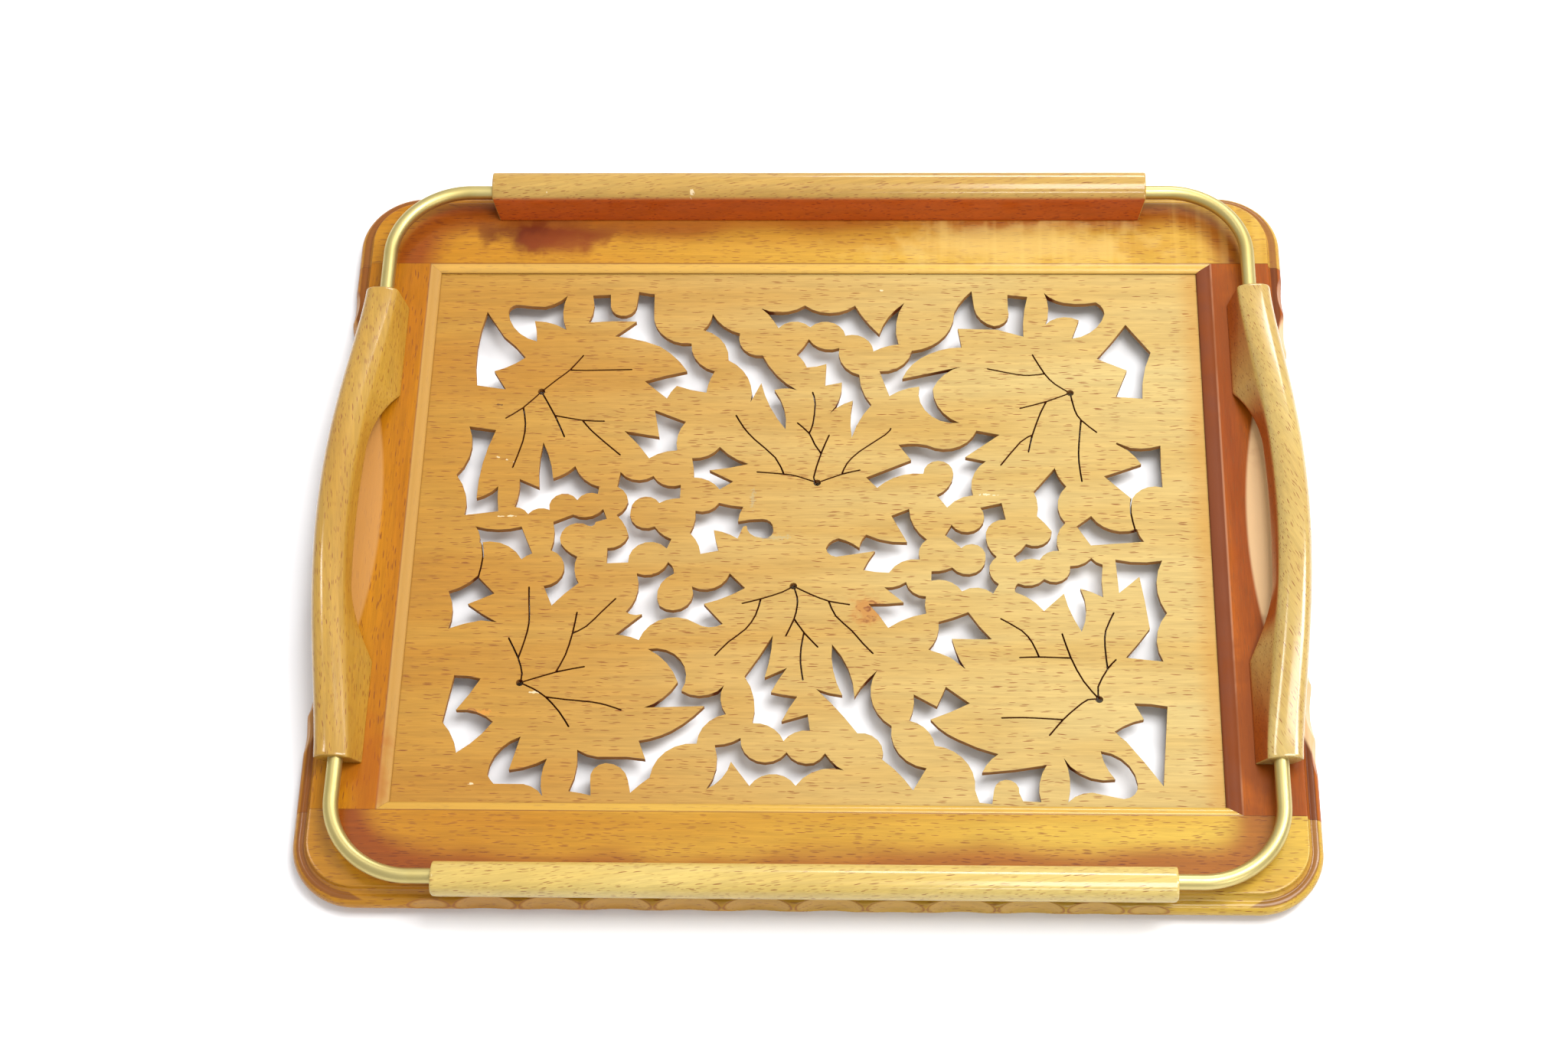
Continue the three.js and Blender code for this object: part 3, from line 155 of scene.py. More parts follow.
def cap_faces(start: int, count: int) -> Array:
    """Quads across a closed ring, each joining a point pair to the next.

    Args:
        start: number of the ring's first point.
        count: number of points in the ring, an even number.

    Returns:
        Array of point numbers, four for each quad.
    """
    near = np.arange(count // 2 - 1)
    far = count - 1 - near
    return start + np.stack([near, near + 1, far - 1, far], axis=-1)


@dataclass
class Shell:
    """Patches that together make one closed surface, in millimetres."""

    points: list[Array] = field(default_factory=list)
    faces: list[list[int]] = field(default_factory=list)
    carved: list[Array] = field(default_factory=list)
    count: int = 0

    def add(self, points: Array, faces: Array | list[list[int]], carved: Array | None = None) -> None:
        """Adds a patch.

        Args:
            points: array of points, any leading shape, three numbers each.
            faces: point numbers of each face, counted within the patch.
            carved: how deep the carving is at each point, in millimetres.
        """
        flat = points.reshape(-1, 3)
        self.points.append(flat)
        self.carved.append(np.zeros(len(flat)) if carved is None else carved.reshape(-1))
        self.faces += [[self.count + int(i) for i in face] for face in faces]
        self.count += len(flat)

    def add_grid(
        self, points: Array, closed: bool = False, capped: bool = False, carved: Array | None = None
    ) -> None:
        """Adds a grid of points.

        Args:
            points: array of shape (rows, cols, 3).
            closed: whether each row is a closed ring.
            capped: whether the first and last rings are closed off.
            carved: how deep the carving is at each point, in millimetres.
        """
        rows, cols = points.shape[:2]
        faces = [grid_faces(rows, cols, closed)]
        if capped:
            faces += [cap_faces(0, cols), cap_faces((rows - 1) * cols, cols)]
        self.add(points, np.concatenate(faces), carved)

    def build(self, name: str, smooth_angle: float = 38.0) -> bpy.types.Object:
        """Makes the mesh object, with doubles merged, normals outwards and sharp corners kept.

        Args:
            name: name of the piece.
            smooth_angle: corners sharper than this many degrees stay sharp.

        Returns:
            The new object, at the origin.
        """
        mesh = bpy.data.meshes.new(name)
        mesh.from_pydata((np.concatenate(self.points) * MM).tolist(), [], self.faces)
        carved = mesh.attributes.new("carved", "FLOAT", "POINT")
        carved.data.foreach_set("value", np.concatenate(self.carved))
        solid = bmesh.new()
        solid.from_mesh(mesh)
        bmesh.ops.remove_doubles(solid, verts=solid.verts, dist=MERGE)
        bmesh.ops.recalc_face_normals(solid, faces=solid.faces)
        solid.to_mesh(mesh)
        solid.free()
        mesh.shade_smooth()
        mesh.set_sharp_from_angle(angle=math.radians(smooth_angle))
        piece = bpy.data.objects.new(name, mesh)
        bpy.context.scene.collection.objects.link(piece)
        return piece


def settle(piece: bpy.types.Object, material: bpy.types.Material, slot: str, *nodes: str) -> None:
    """Dresses a piece and hands it to the frame in place of its CAD nodes.

    Args:
        piece: the finished object.
        material: its finish.
        slot: not used.
        nodes: names of the CAD nodes that it stands for.
    """
    piece.data.materials.clear()
    piece.data.materials.append(material)
    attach(piece, "root")
    if nodes:
        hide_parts(*nodes)
    log.info("%s: %d faces", piece.name, len(piece.data.polygons))


class Graph:
    """Adds nodes to a tree and joins them. Any input takes a socket or a plain value."""

    def __init__(self, tree: bpy.types.NodeTree) -> None:
        """Keeps the tree that nodes are added to."""
        self.tree = tree

    def node(self, kind: str, inputs: dict[str | int, Value], **settings: object) -> bpy.types.Node:
        """Adds one node.

        Args:
            kind: the node's type.
            inputs: value or socket for each named or numbered input.
            settings: the node's own properties.

        Returns:
            The node.
        """
        made = self.tree.nodes.new(kind)
        for key, value in settings.items():
            setattr(made, key, value)
        for key, value in inputs.items():
            if isinstance(value, Socket):
                self.tree.links.new(value, made.inputs[key])
            else:
                made.inputs[key].default_value = value
        return made

    def math(self, operation: str, a: Value, b: Value = 0.0, c: Value = 0.0) -> Socket:
        """A Math node's result."""
        return self.node("ShaderNodeMath", {0: a, 1: b, 2: c}, operation=operation).outputs[0]

    def times(self, product: Value, *others: Value) -> Value:
        """The product of the values given.

        Args:
            product: the first of them.
            others: the rest.

        Returns:
            The product.
        """
        for other in others:
            product = self.math("MULTIPLY", product, other)
        return product

    def vector(self, operation: str, a: Value, b: Value) -> Socket:
        """A Vector Math node's vector result."""
        return self.node("ShaderNodeVectorMath", {0: a, 1: b}, operation=operation).outputs[0]

    def distance(self, a: Value, b: Value) -> Socket:
        """Distance between two points."""
        return self.node("ShaderNodeVectorMath", {0: a, 1: b}, operation="DISTANCE").outputs["Value"]

    def split(self, vector: Value) -> tuple[Socket, Socket, Socket]:
        """The three parts of a vector."""
        made = self.node("ShaderNodeSeparateXYZ", {0: vector})
        return made.outputs[0], made.outputs[1], made.outputs[2]

    def remap(self, value: Value, low: Value, high: Value, start: float = 0.0, end: float = 1.0) -> Socket:
        """Value carried from low..high to start..end along a smooth step."""
        inputs = {"Value": value, "From Min": low, "From Max": high, "To Min": start, "To Max": end}
        return self.node("ShaderNodeMapRange", inputs, interpolation_type="SMOOTHSTEP").outputs["Result"]

    def rise(self, length: Value, low: float, high: float) -> Socket:
        """0 where a length is at low and 1 where it is at high, both in millimetres."""
        return self.remap(length, low * MM, high * MM)

    def line(self, length: Value, middle: float, outer: float = 0.4, core: float = 0.1) -> Socket:
        """1 within the core distance of a line at the middle, and 0 past the outer one, in millimetres."""
        return self.rise(self.math("ABSOLUTE", self.math("SUBTRACT", length, middle * MM)), outer, core)

    def mix(self, factor: Value, a: Value, b: Value, blend: str = "MIX") -> Socket:
        """Two colours mixed."""
        inputs = {0: factor, 6: a, 7: b}
        return self.node("ShaderNodeMix", inputs, data_type="RGBA", blend_type=blend).outputs[2]

    def paint(self, under: Socket, colour: Colour, *shares: Value) -> Socket:
        """A colour laid over another one by the product of the shares."""
        return self.mix(self.times(*shares), under, (*colour, 1))

    def tint(self, under: Socket, colour: Colour) -> Socket:
        """A colour multiplied with another one."""
        return self.mix(1.0, under, (*colour, 1), "MULTIPLY")

    def noise(self, vector: Value, scale: float, detail: float = 2.0, distortion: float = 0.0) -> Socket:
        """Noise between about 0 and 1."""
        inputs = {"Vector": vector, "Scale": scale, "Detail": detail, "Distortion": distortion}
        return self.node("ShaderNodeTexNoise", inputs).outputs[0]

    def attribute(self, name: str) -> Socket:
        """The value of one of the mesh's own attributes."""
        return self.node("ShaderNodeAttribute", {}, attribute_name=name).outputs["Fac"]

    def shade(self, inputs: dict[str, Value]) -> None:
        """Adds the shader with its inputs, and joins it to the material's output."""
        shader = self.node("ShaderNodeBsdfPrincipled", inputs)
        self.node("ShaderNodeOutputMaterial", {0: shader.outputs[0]})


def blank_material(name: str) -> tuple[bpy.types.Material, Graph, Socket]:
    """A material with nothing in it but the object coordinates.

    Args:
        name: its name.

    Returns:
        The material, the graph to add nodes to and the coordinates.
    """
    made = bpy.data.materials.new(name)
    made.use_nodes = True
    made.node_tree.nodes.clear()
    graph = Graph(made.node_tree)
    return made, graph, graph.node("ShaderNodeTexCoord", {}).outputs["Object"]


def blank_group(
    name: str, inputs: tuple[str, ...], outputs: tuple[str, ...]
) -> tuple[Graph, Sockets, Sockets]:
    """A shader node group that takes a place and some numbers, and puts out numbers.

    Args:
        name: name of the group.
        inputs: name of each number that it takes, beside its place, Vector.
        outputs: name of each number that it puts out.

    Returns:
        The graph to add nodes to, the sockets of its inputs, and those that its outputs are joined to.
    """
    tree = bpy.data.node_groups.new(name, "ShaderNodeTree")
    tree.interface.new_socket(name="Vector", in_out="INPUT", socket_type="NodeSocketVector")
    for way, names in {"INPUT": inputs, "OUTPUT": outputs}.items():
        for key in names:
            tree.interface.new_socket(name=key, in_out=way, socket_type="NodeSocketFloat")
    entry = tree.nodes.new("NodeGroupInput")
    leave = tree.nodes.new("NodeGroupOutput")
    given = {key: entry.outputs[key] for key in ("Vector", *inputs)}
    return Graph(tree), given, {key: leave.inputs[key] for key in outputs}


def beech_figure() -> bpy.types.NodeTree:
    """The figure of beech, with its fibres along x.

    Tone is the slow change from pale to warm wood in rings, Flecks are the short brown dashes, Fibre is
    the finest streaks and Height is for a bump.

    Returns:
        The node group, made once.
    """
    name = "beech_figure"
    if name in bpy.data.node_groups:
        return bpy.data.node_groups[name]
    numbers = ("Fleck Length", "Fleck Width", "Fleck Share", "Ring Count", "Ring Share")
    graph, given, leave = blank_group(name, numbers, ("Tone", "Flecks", "Fibre", "Height"))
    place = given["Vector"]

    def drawn(factors: Point, detail: float, distortion: float = 0.0) -> Socket:
        """Noise that is finer or coarser by a factor along each axis."""
        return graph.noise(graph.vector("MULTIPLY", place, factors), 1.0, detail, distortion)

    # Flecks: ellipsoids scattered in cells that are long along the fibre
    length = graph.math("DIVIDE", 1.0, given["Fleck Length"])
    width = graph.math("DIVIDE", 1.0, given["Fleck Width"])
    cell = graph.node("ShaderNodeCombineXYZ", {0: length, 1: width, 2: width}).outputs[0]
    wander = graph.times(graph.noise(place, 90.0, 1.0), 0.002)
    moved = graph.vector("ADD", place, graph.node("ShaderNodeCombineXYZ", {1: wander}).outputs[0])
    scaled = graph.vector("MULTIPLY", moved, cell)
    cells = graph.node("ShaderNodeTexVoronoi", {"Vector": scaled, "Scale": 1.0}).outputs
    chance = graph.node("ShaderNodeSeparateColor", {0: cells["Color"]}).outputs
    kept = graph.math("LESS_THAN", chance[0], given["Fleck Share"])
    edge = graph.math("MULTIPLY_ADD", chance[1], 0.21, 0.225)
    body = graph.remap(cells["Distance"], edge, graph.times(edge, 0.6))
    depth = graph.math("MULTIPLY_ADD", chance[2], 0.7, 0.3)
    flecks = graph.times(body, kept, depth)
    # Rings: contour lines of a noise that is stretched along the fibre
    wave = graph.math("SINE", graph.times(drawn((2.2, 22.0, 22.0), 2.0, 0.25), given["Ring Count"]))
    broad = graph.math("SUBTRACT", drawn((5.0, 30.0, 30.0), 3.0, 0.4), 0.5)
    rings = graph.times(wave, given["Ring Share"])
    tone = graph.math("ADD", graph.math("MULTIPLY_ADD", broad, 1.5, 0.5), rings)
    # Fibre: very fine long streaks
    fine = drawn((110.0, 2600.0, 2600.0), 2.0)
    coarse = drawn((35.0, 620.0, 620.0), 2.0)
    fibre = graph.math("MULTIPLY_ADD", fine, 0.5, graph.times(coarse, 0.5))
    height = graph.math("SUBTRACT", graph.times(fibre, 0.4), graph.times(flecks, 0.6))
    for key, socket in {"Tone": tone, "Flecks": flecks, "Fibre": fibre, "Height": height}.items():
        graph.tree.links.new(socket, leave[key])
    return graph.tree


def gallery_distance() -> bpy.types.NodeTree:
    """How far a point lies outside the rods' line in plan, negative inside it.

    The line is a rectangle with round corners. With q how far |x| and |y| are past the middles of the
    bends, the distance is the length of max(q, 0), plus min(max(q), 0), less the bend's radius.

    Returns:
        The node group, made once.
    """
    name = "gallery_distance"
    if name in bpy.data.node_groups:
        return bpy.data.node_groups[name]
    graph, given, leave = blank_group(name, ("Rod X", "Rod Y", "Bend"), ("Distance",))
    x, y, _ = graph.split(graph.vector("ABSOLUTE", given["Vector"], (0.0, 0.0, 0.0)))
    past_x = graph.math("ADD", graph.math("SUBTRACT", x, given["Rod X"]), given["Bend"])
    past_y = graph.math("ADD", graph.math("SUBTRACT", y, given["Rod Y"]), given["Bend"])
    corner_x = graph.math("MAXIMUM", past_x, 0.0)
    corner_y = graph.math("MAXIMUM", past_y, 0.0)
    squares = graph.math("MULTIPLY_ADD", corner_x, corner_x, graph.times(corner_y, corner_y))
    flat = graph.math("MINIMUM", graph.math("MAXIMUM", past_x, past_y), 0.0)
    away = graph.math("SUBTRACT", graph.math("ADD", graph.math("SQRT", squares), flat), given["Bend"])
    graph.tree.links.new(away, leave["Distance"])
    return graph.tree


@dataclass(frozen=True)
class BeechFinish:
    """Lacquered beech with its own colours and grain direction.

    The flecks' sizes and the two ends of the fade along x are in millimetres, the shift in metres.
    """

    name: str
    pale: Colour
    warm: Colour
    fleck: Colour = (0.17, 0.05, 0.008)
    grain: Grain = Grain.ALONG_X
    slant: float = 0.0
    fleck_length: float = 4.5
    fleck_width: float = 0.75
    fleck_share: float = 0.9
    fleck_depth: float = 0.8
    ring_count: float = 26.0
    ring_share: float = 0.16
    streaks: Pair = (0.86, 1.1)
    bump: float = 0.08
    roughness: float = 0.42
    specular: float = 0.12
    refraction: float = 1.5
    coat: float = 0.45
    coat_roughness: float = 0.14
    shift: Point = (0.0, 0.0, 0.0)
    # The fade and the left and right tints paint light across the board: darker and more saturated on the left,
    # paler towards the lamps on the right.
    fade: Pair = (-190.0, 110.0)
    left: Colour = (1.0, 1.0, 1.0)
    right: Colour = (1.0, 1.0, 1.0)

    def material(self) -> bpy.types.Material:
        """The finish as a material.

        The figure gives the colour, the fade paints light on it from left to right, and marks adds what
        this board alone has, painted light and shade among it. Dull wood is rougher and has less coat.

        Returns:
            The new material.
        """
        made, graph, place = blank_material(self.name)
        turn = (0.0, 0.0, -(self.grain.value + math.radians(self.slant)))
        mapped = graph.node("ShaderNodeMapping", {"Vector": place, "Location": self.shift, "Rotation": turn})
        sizes = {
            "Vector": mapped.outputs[0],
            "Fleck Length": self.fleck_length * MM,
            "Fleck Width": self.fleck_width * MM,
            "Fleck Share": self.fleck_share,
            "Ring Count": self.ring_count,
            "Ring Share": self.ring_share,
        }
        figure = graph.node("ShaderNodeGroup", sizes, node_tree=beech_figure()).outputs
        colour = graph.mix(figure["Tone"], (*self.pale, 1), (*self.warm, 1))
        colour = graph.mix(1.0, colour, graph.remap(figure["Fibre"], 0.3, 0.7, *self.streaks), "MULTIPLY")
        # Painted light from left to right.
        painted_falloff = graph.rise(graph.split(place)[0], *self.fade)
        colour = graph.mix(1.0, colour, graph.mix(painted_falloff, (*self.left, 1), (*self.right, 1)), "MULTIPLY")
        colour = graph.paint(colour, self.fleck, figure["Flecks"], self.fleck_depth)
        colour, dull = self.marks(graph, place, colour)
        rubbed = graph.noise(place, 60.0, 3.0)
        satin = graph.remap(rubbed, 0.35, 0.65, self.roughness - 0.06, self.roughness + 0.08)
        relief = {"Strength": 0.35, "Distance": self.bump * MM, "Height": figure["Height"]}
        graph.shade(
            {
                "Base Color": colour,
                "Roughness": graph.math("MULTIPLY_ADD", dull, 0.35, satin),
                "Normal": graph.node("ShaderNodeBump", relief).outputs[0],
                "IOR": self.refraction,
                "Specular IOR Level": self.specular,
                "Coat Weight": graph.math("MULTIPLY_ADD", dull, -self.coat, self.coat),
                "Coat Roughness": self.coat_roughness,
                "Coat IOR": self.refraction,
            }
        )
        return made

    def marks(self, graph: Graph, place: Socket, colour: Socket) -> tuple[Socket, Value]:
        """What this board alone has. Plain beech has nothing.

        Args:
            graph: graph of the material.
            place: object coordinates.
            colour: the wood's colour so far.

        Returns:
            The colour, and how dull the wood is, from 0 lacquered to 1 bare.
        """
        return colour, 0.0


@dataclass(frozen=True)
class Spot:
    """A mark on the wood, some of them painted shade, light and reflection: its middle and half widths in
    millimetres, colour and strength.
    """

    x: float
    y: float
    half_x: float
    half_y: float
    colour: Colour
    strength: float = 0.8

    def is_large(self) -> bool:
        """Whether it is a large soft patch and not a chip."""
        return self.half_x + self.half_y > 9


@dataclass(frozen=True)
class SpottedFinish(BeechFinish):
    """Beech with marks on it."""

    spots: tuple[Spot, ...] = ()

    def spotted(self, graph: Graph, place: Socket, colour: Socket) -> Socket:
        """Lays each mark on the wood: an ellipse in plan, ragged at the edge or, if it is large, soft.

        Args:
            graph: graph of the material.
            place: object coordinates.
            colour: the wood's colour so far.

        Returns:
            The colour with the marks.
        """
        ragged = graph.remap(graph.noise(place, 900.0, 3.0), 0.3, 0.7, 0.5, 1.6)
        cloudy = graph.remap(graph.noise(place, 85.0, 3.0), 0.3, 0.7, 0.7, 1.4)
        for spot in self.spots:
            edge, outer, inner = (cloudy, 1.25, 0.3) if spot.is_large() else (ragged, 1.0, 0.6)
            moved = graph.vector("SUBTRACT", place, (spot.x * MM, spot.y * MM, 0.0))
            widths = (1 / (spot.half_x * MM), 1 / (spot.half_y * MM), 0.0)
            scaled = graph.vector("MULTIPLY", moved, widths)
            away = graph.times(graph.distance(scaled, (0.0, 0.0, 0.0)), edge)
            colour = graph.paint(colour, spot.colour, graph.remap(away, outer, inner), spot.strength)
        return colour


@dataclass(frozen=True)
class PanelFinish(SpottedFinish):
    """The panel's beech, with dark and dull sawn walls, kerfs dark from the saw's burn and from painted shade,
    painted shade on its right rim, two knots and a few marks.
    """

    top: float = PANEL_TOP
    bottom: float = PANEL_BOTTOM
    # Painted shade that the right stile and its moulding cast on the panel's right rim.
    rim: Colour = (0.36, 0.16, 0.015)
    stain: Colour = (0.34, 0.145, 0.03)
    stroke: Colour = (0.17, 0.05, 0.012)
    wall: Colour = (0.27, 0.11, 0.03)
    # The kerfs' walls: dark from the saw's burn, and darker still as painted shade in the narrow slots.
    burn_and_shade: Colour = (0.1, 0.02, 0.003)
    knots: tuple[tuple[Pair, float], ...] = (((23.5, -39.0), 8.0), ((-134.0, -87.0), 2.4))

    def marks(self, graph: Graph, place: Socket, colour: Socket) -> tuple[Socket, Value]:
        """Paints shade on the right rim, darkens the sawn walls and the kerfs, the kerfs partly with painted
        shade, and adds the knots and marks.

        Args:
            graph: graph of the material.
            place: object coordinates.
            colour: the wood's colour so far.

        Returns:
            The colour, and how dull the wood is.
        """
        x, _, height = graph.split(place)
        # Painted shade along the right rim.
        colour = graph.paint(colour, self.rim, graph.rise(x, 152.0, 163.0), 0.5)
        for centre, radius in self.knots:
            colour = self.knot(graph, place, colour, centre, radius)
        colour = self.spotted(graph, place, colour)
        below = graph.rise(height, self.top - 0.1, self.top - 0.45)
        above = graph.rise(height, self.bottom + 0.02, self.bottom + 0.2)
        wall = graph.times(below, above)
        colour = graph.paint(colour, self.wall, wall, 0.85)
        # Kerf walls dark from the saw's burn, darkened further as painted shade in the narrow kerfs.
        kerf = graph.remap(graph.attribute("carved"), 0.2, 0.7)
        return graph.paint(colour, self.burn_and_shade, kerf, wall), wall

    def knot(self, graph: Graph, place: Socket, colour: Socket, centre: Pair, radius: float) -> Socket:
        """A small knot: an orange stain with darker strokes that curve round its middle.

        The strokes are a sine of the distance, broken by noise.

        Args:
            graph: graph of the material.
            place: object coordinates.
            colour: the wood's colour so far.
            centre: the knot's middle on the top face, in millimetres.
            radius: its radius in millimetres.

        Returns:
            The colour with the knot in it.
        """
        wander = graph.remap(graph.noise(place, 240.0, 2.0), 0.3, 0.7, 0.7, 1.35)
        middle = tuple(part * MM for part in (*centre, self.top))
        away = graph.times(graph.distance(place, middle), wander)
        stain = graph.rise(away, radius, radius * 0.35)
        stroke = graph.remap(graph.math("SINE", graph.times(away, 15.0 / (radius * MM))), 0.1, 0.9)
        broken = graph.remap(graph.noise(place, 330.0, 2.0), 0.42, 0.58)
        colour = graph.paint(colour, self.stain, stain, 0.85)
        return graph.paint(colour, self.stroke, stroke, broken, stain, 0.9)


@dataclass(frozen=True)
class FrameFinish(SpottedFinish):
    """The frame's beech: painted shade inside the gallery, a darker cove, painted light and shade on the other
    mouldings, painted light that comes in under the grips, and dark joints.

    Places and widths are in millimetres. The joints' and the sight lines are from the tray's middle, the
    strip from the sight line and the edge from the rods' line, and the cove and the quirk are heights.
    """

    butt: float = 131.25
    joint: float = 0.25
    sight_x: float = 163.0
    sight_y: float = 127.1
    strip: float = 4.1
    edge: float = 9.0
    cove_low: float = 9.2
    cove_high: float = 12.8
    quirk: float = 9.58
    squeezes: Pair = (0.84, 0.65)
    # Tint of the painted shade inside the gallery, where the bars, grips and rods keep light off the frame.
    lacquer: Colour = (0.58, 0.3, 0.14)
    # Painted light and shade on the sight moulding: paler where it faces the lamps, dark on the right stile,
    # which faces away from them.
    sight: Colour = (0.5, 0.32, 0.06)
    sight_share: float = 0.45
    # Painted line at the step behind the sight moulding: shade in its crease, and on the right stile a highlight
    # on its arris.
    step: Colour = (0.13, 0.035, 0.008)
    # Painted shade at the sight moulding's foot and in the quirk, and the joints' own dark.
    dirt: Colour = (0.13, 0.035, 0.008)
    cove: Colour = (0.33, 0.11, 0.014)
    cove_share: float = 0.42
    fresh: Colour = (0.56, 0.34, 0.13)
    rim: Colour = (0.22, 0.065, 0.012)
    curl: Colour = (0.66, 0.45, 0.12)
    curl_share: float = 0.0
    # Painted light that comes in under each grip's arch and falls on the stile: its colour, share, half length
    # and widest width.
    arch_light: Colour = (0.52, 0.27, 0.07)
    arch_light_share: float = 0.0
    arch_light_half: float = 50.0
    arch_light_width: float = 4.8

    def marks(self, graph: Graph, place: Socket, colour: Socket) -> tuple[Socket, Value]:
        """Paints shade inside the gallery, then dresses the mouldings with painted light and shade, the joints,
        the painted light under the grips and the spots, some of them painted shade.

        Args:
            graph: graph of the material.
            place: object coordinates.
            colour: the wood's colour so far.

        Returns:
            The colour, and how dull the wood is.
        """
        sizes = {"Vector": place, "Rod X": ROD_X * MM, "Rod Y": ROD_Y * MM, "Bend": ROD_BEND * MM}
        away = graph.node("ShaderNodeGroup", sizes, node_tree=gallery_distance()).outputs["Distance"]
        # Painted shade on the frame's top inside the gallery, with a ragged edge towards the panel.
        wave = graph.math("SUBTRACT", graph.noise(place, 16.0, 2.0), 0.5)
        ragged = graph.math("MULTIPLY_ADD", wave, 0.022, away)
        inside = graph.times(graph.rise(ragged, -21.0, -8.0), graph.rise(away, 3.0, -3.0))
        colour = graph.mix(inside, colour, graph.tint(colour, self.lacquer))
        if self.curl_share:
            bands = graph.noise(graph.vector("MULTIPLY", place, (230.0, 9.0, 9.0)), 1.0, 2.0)
            curly = graph.rise(graph.split(place)[0], 30.0, 60.0)
            colour = graph.paint(colour, self.curl, graph.remap(bands, 0.45, 0.7), curly, self.curl_share)
        colour = self.sight_moulding(graph, place, colour)
        colour = self.edge_moulding(graph, place, away, colour)
        joint = graph.line(graph.math("ABSOLUTE", graph.split(place)[1]), self.butt, self.joint)
        colour = graph.paint(colour, self.dirt, joint, 0.4)
        # Painted light under the grips' arches.
        if self.arch_light_share:
            colour = self.paint_arch_light(graph, place, away, colour)
        return self.spotted(graph, place, colour), 0.0

    def sight_moulding(self, graph: Graph, place: Socket, colour: Socket) -> Socket:
        """Paints light and shade on the sight moulding, a painted line at the step behind it and painted shade at
        its foot on the panel.

        The distance from the sight line is the greater of |x| - sight_x and |y| - sight_y, with the
        first one squeezed, because the moulding is wider on the stiles.

        Args:
            graph: graph of the material.
            place: object coordinates.
            colour: the wood's colour so far.

        Returns:
            The colour with the moulding.
        """
        x, y, height = graph.split(graph.vector("ABSOLUTE", place, (0.0, 0.0, 0.0)))
        squeeze = graph.remap(graph.split(place)[0], -MM, MM, *self.squeezes)
        from_x = graph.times(graph.math("SUBTRACT", x, self.sight_x * MM), squeeze)
        from_y = graph.math("SUBTRACT", y, self.sight_y * MM)
        sight = graph.math("MAXIMUM", from_x, from_y)
        # The sight moulding's painted light and shade.
        strip = graph.rise(sight, self.strip + 0.2, self.strip - 0.2)
        colour = graph.paint(colour, self.sight, strip, self.sight_share)
        # Painted shade at the sight moulding's foot on the panel.
        low = graph.rise(height, PANEL_TOP + 1.0, PANEL_TOP + 0.3)
        colour = graph.paint(colour, self.dirt, graph.rise(sight, 0.8, 0.1), low, 0.7)
        # Painted line at the step: shade, and on the right stile a highlight.
        return graph.paint(colour, self.step, graph.line(sight, self.strip), 0.5)

    def edge_moulding(self, graph: Graph, place: Socket, away: Socket, colour: Socket) -> Socket:
        """Dresses the cove, paints shade in the quirk under it and dresses the carving.

        A scallop's rim is where the carving's depth is just over nothing, and fresh wood where it is more.

        Args:
            graph: graph of the material.
            place: object coordinates.
            away: distance outside the rods' line.
            colour: the wood's colour so far.

        Returns:
            The colour with the edge.
        """
        height = graph.split(place)[2]
        carved = graph.attribute("carved")
        high = graph.rise(height, self.cove_high, self.cove_high - 1.0)
        low = graph.rise(height, self.cove_low, self.cove_low + 0.6)
        outwards = graph.rise(away, self.edge, self.edge + 5.5)
        colour = graph.paint(colour, self.cove, high, low, outwards, self.cove_share)
        # Painted shade in the quirk.
        outer = graph.rise(away, self.edge, self.edge + 0.8)
        whole = graph.remap(carved, 0.05, 0.0)
        colour = graph.paint(colour, self.dirt, graph.line(height, self.quirk), outer, whole, 0.7)
        upper = graph.rise(height, 4.5, 7.2)
        colour = graph.paint(colour, self.fresh, graph.remap(carved, 0.3, 0.8), upper, 0.25)
        shallow = graph.times(graph.remap(carved, 0.0, 0.12), graph.remap(carved, 0.5, 0.2))
        return graph.paint(colour, self.rim, shallow, upper, 0.7)

    def paint_arch_light(self, graph: Graph, place: Socket, away: Socket, colour: Socket) -> Socket:
        """Paints the light that comes in under the grip's arch onto the stile.

        The patch is a lens: it ends where the distance inside the rods' line passes a width that is
        widest beside the middle of the grip and falls with the square of the place along it.

        Args:
            graph: graph of the material.
            place: object coordinates.
            away: distance outside the rods' line.
            colour: the wood's colour so far.

        Returns:
            The colour with the patch.
        """
        along = graph.math("DIVIDE", graph.split(place)[1], self.arch_light_half * MM)
        widest = self.arch_light_width * MM
        width = graph.math("MULTIPLY_ADD", graph.times(along, along), -widest, widest)
        past = graph.math("ADD", graph.math("ADD", away, 1.5 * MM), width)
        return graph.paint(colour, self.arch_light, graph.rise(past, -0.8, 0.8), self.arch_light_share)


@dataclass(frozen=True)
class GalleryFinish(SpottedFinish):
    """The bars' and grips' beech, with painted shade on the faces that look inwards."""

    # Tint of the painted shade on the faces that look inwards.
    inner: Colour = (0.6, 0.24, 0.08)

    def marks(self, graph: Graph, place: Socket, colour: Socket) -> tuple[Socket, Value]:
        """Paints shade on the faces whose normal points inwards, as they face away from the lamps.

        Args:
            graph: graph of the material.
            place: object coordinates.
            colour: the wood's colour so far.

        Returns:
            The colour, and how dull the wood is.
        """
        axis = 1 if self.grain is Grain.ALONG_X else 0
        # Painted shade on the faces that look inwards.
        normal = graph.node("ShaderNodeNewGeometry", {}).outputs["Normal"]
        outward = graph.times(graph.split(normal)[axis], graph.math("SIGN", graph.split(place)[axis]))
        colour = graph.mix(graph.remap(outward, -0.8, -0.92), colour, graph.tint(colour, self.inner))
        return self.spotted(graph, place, colour), 0.0


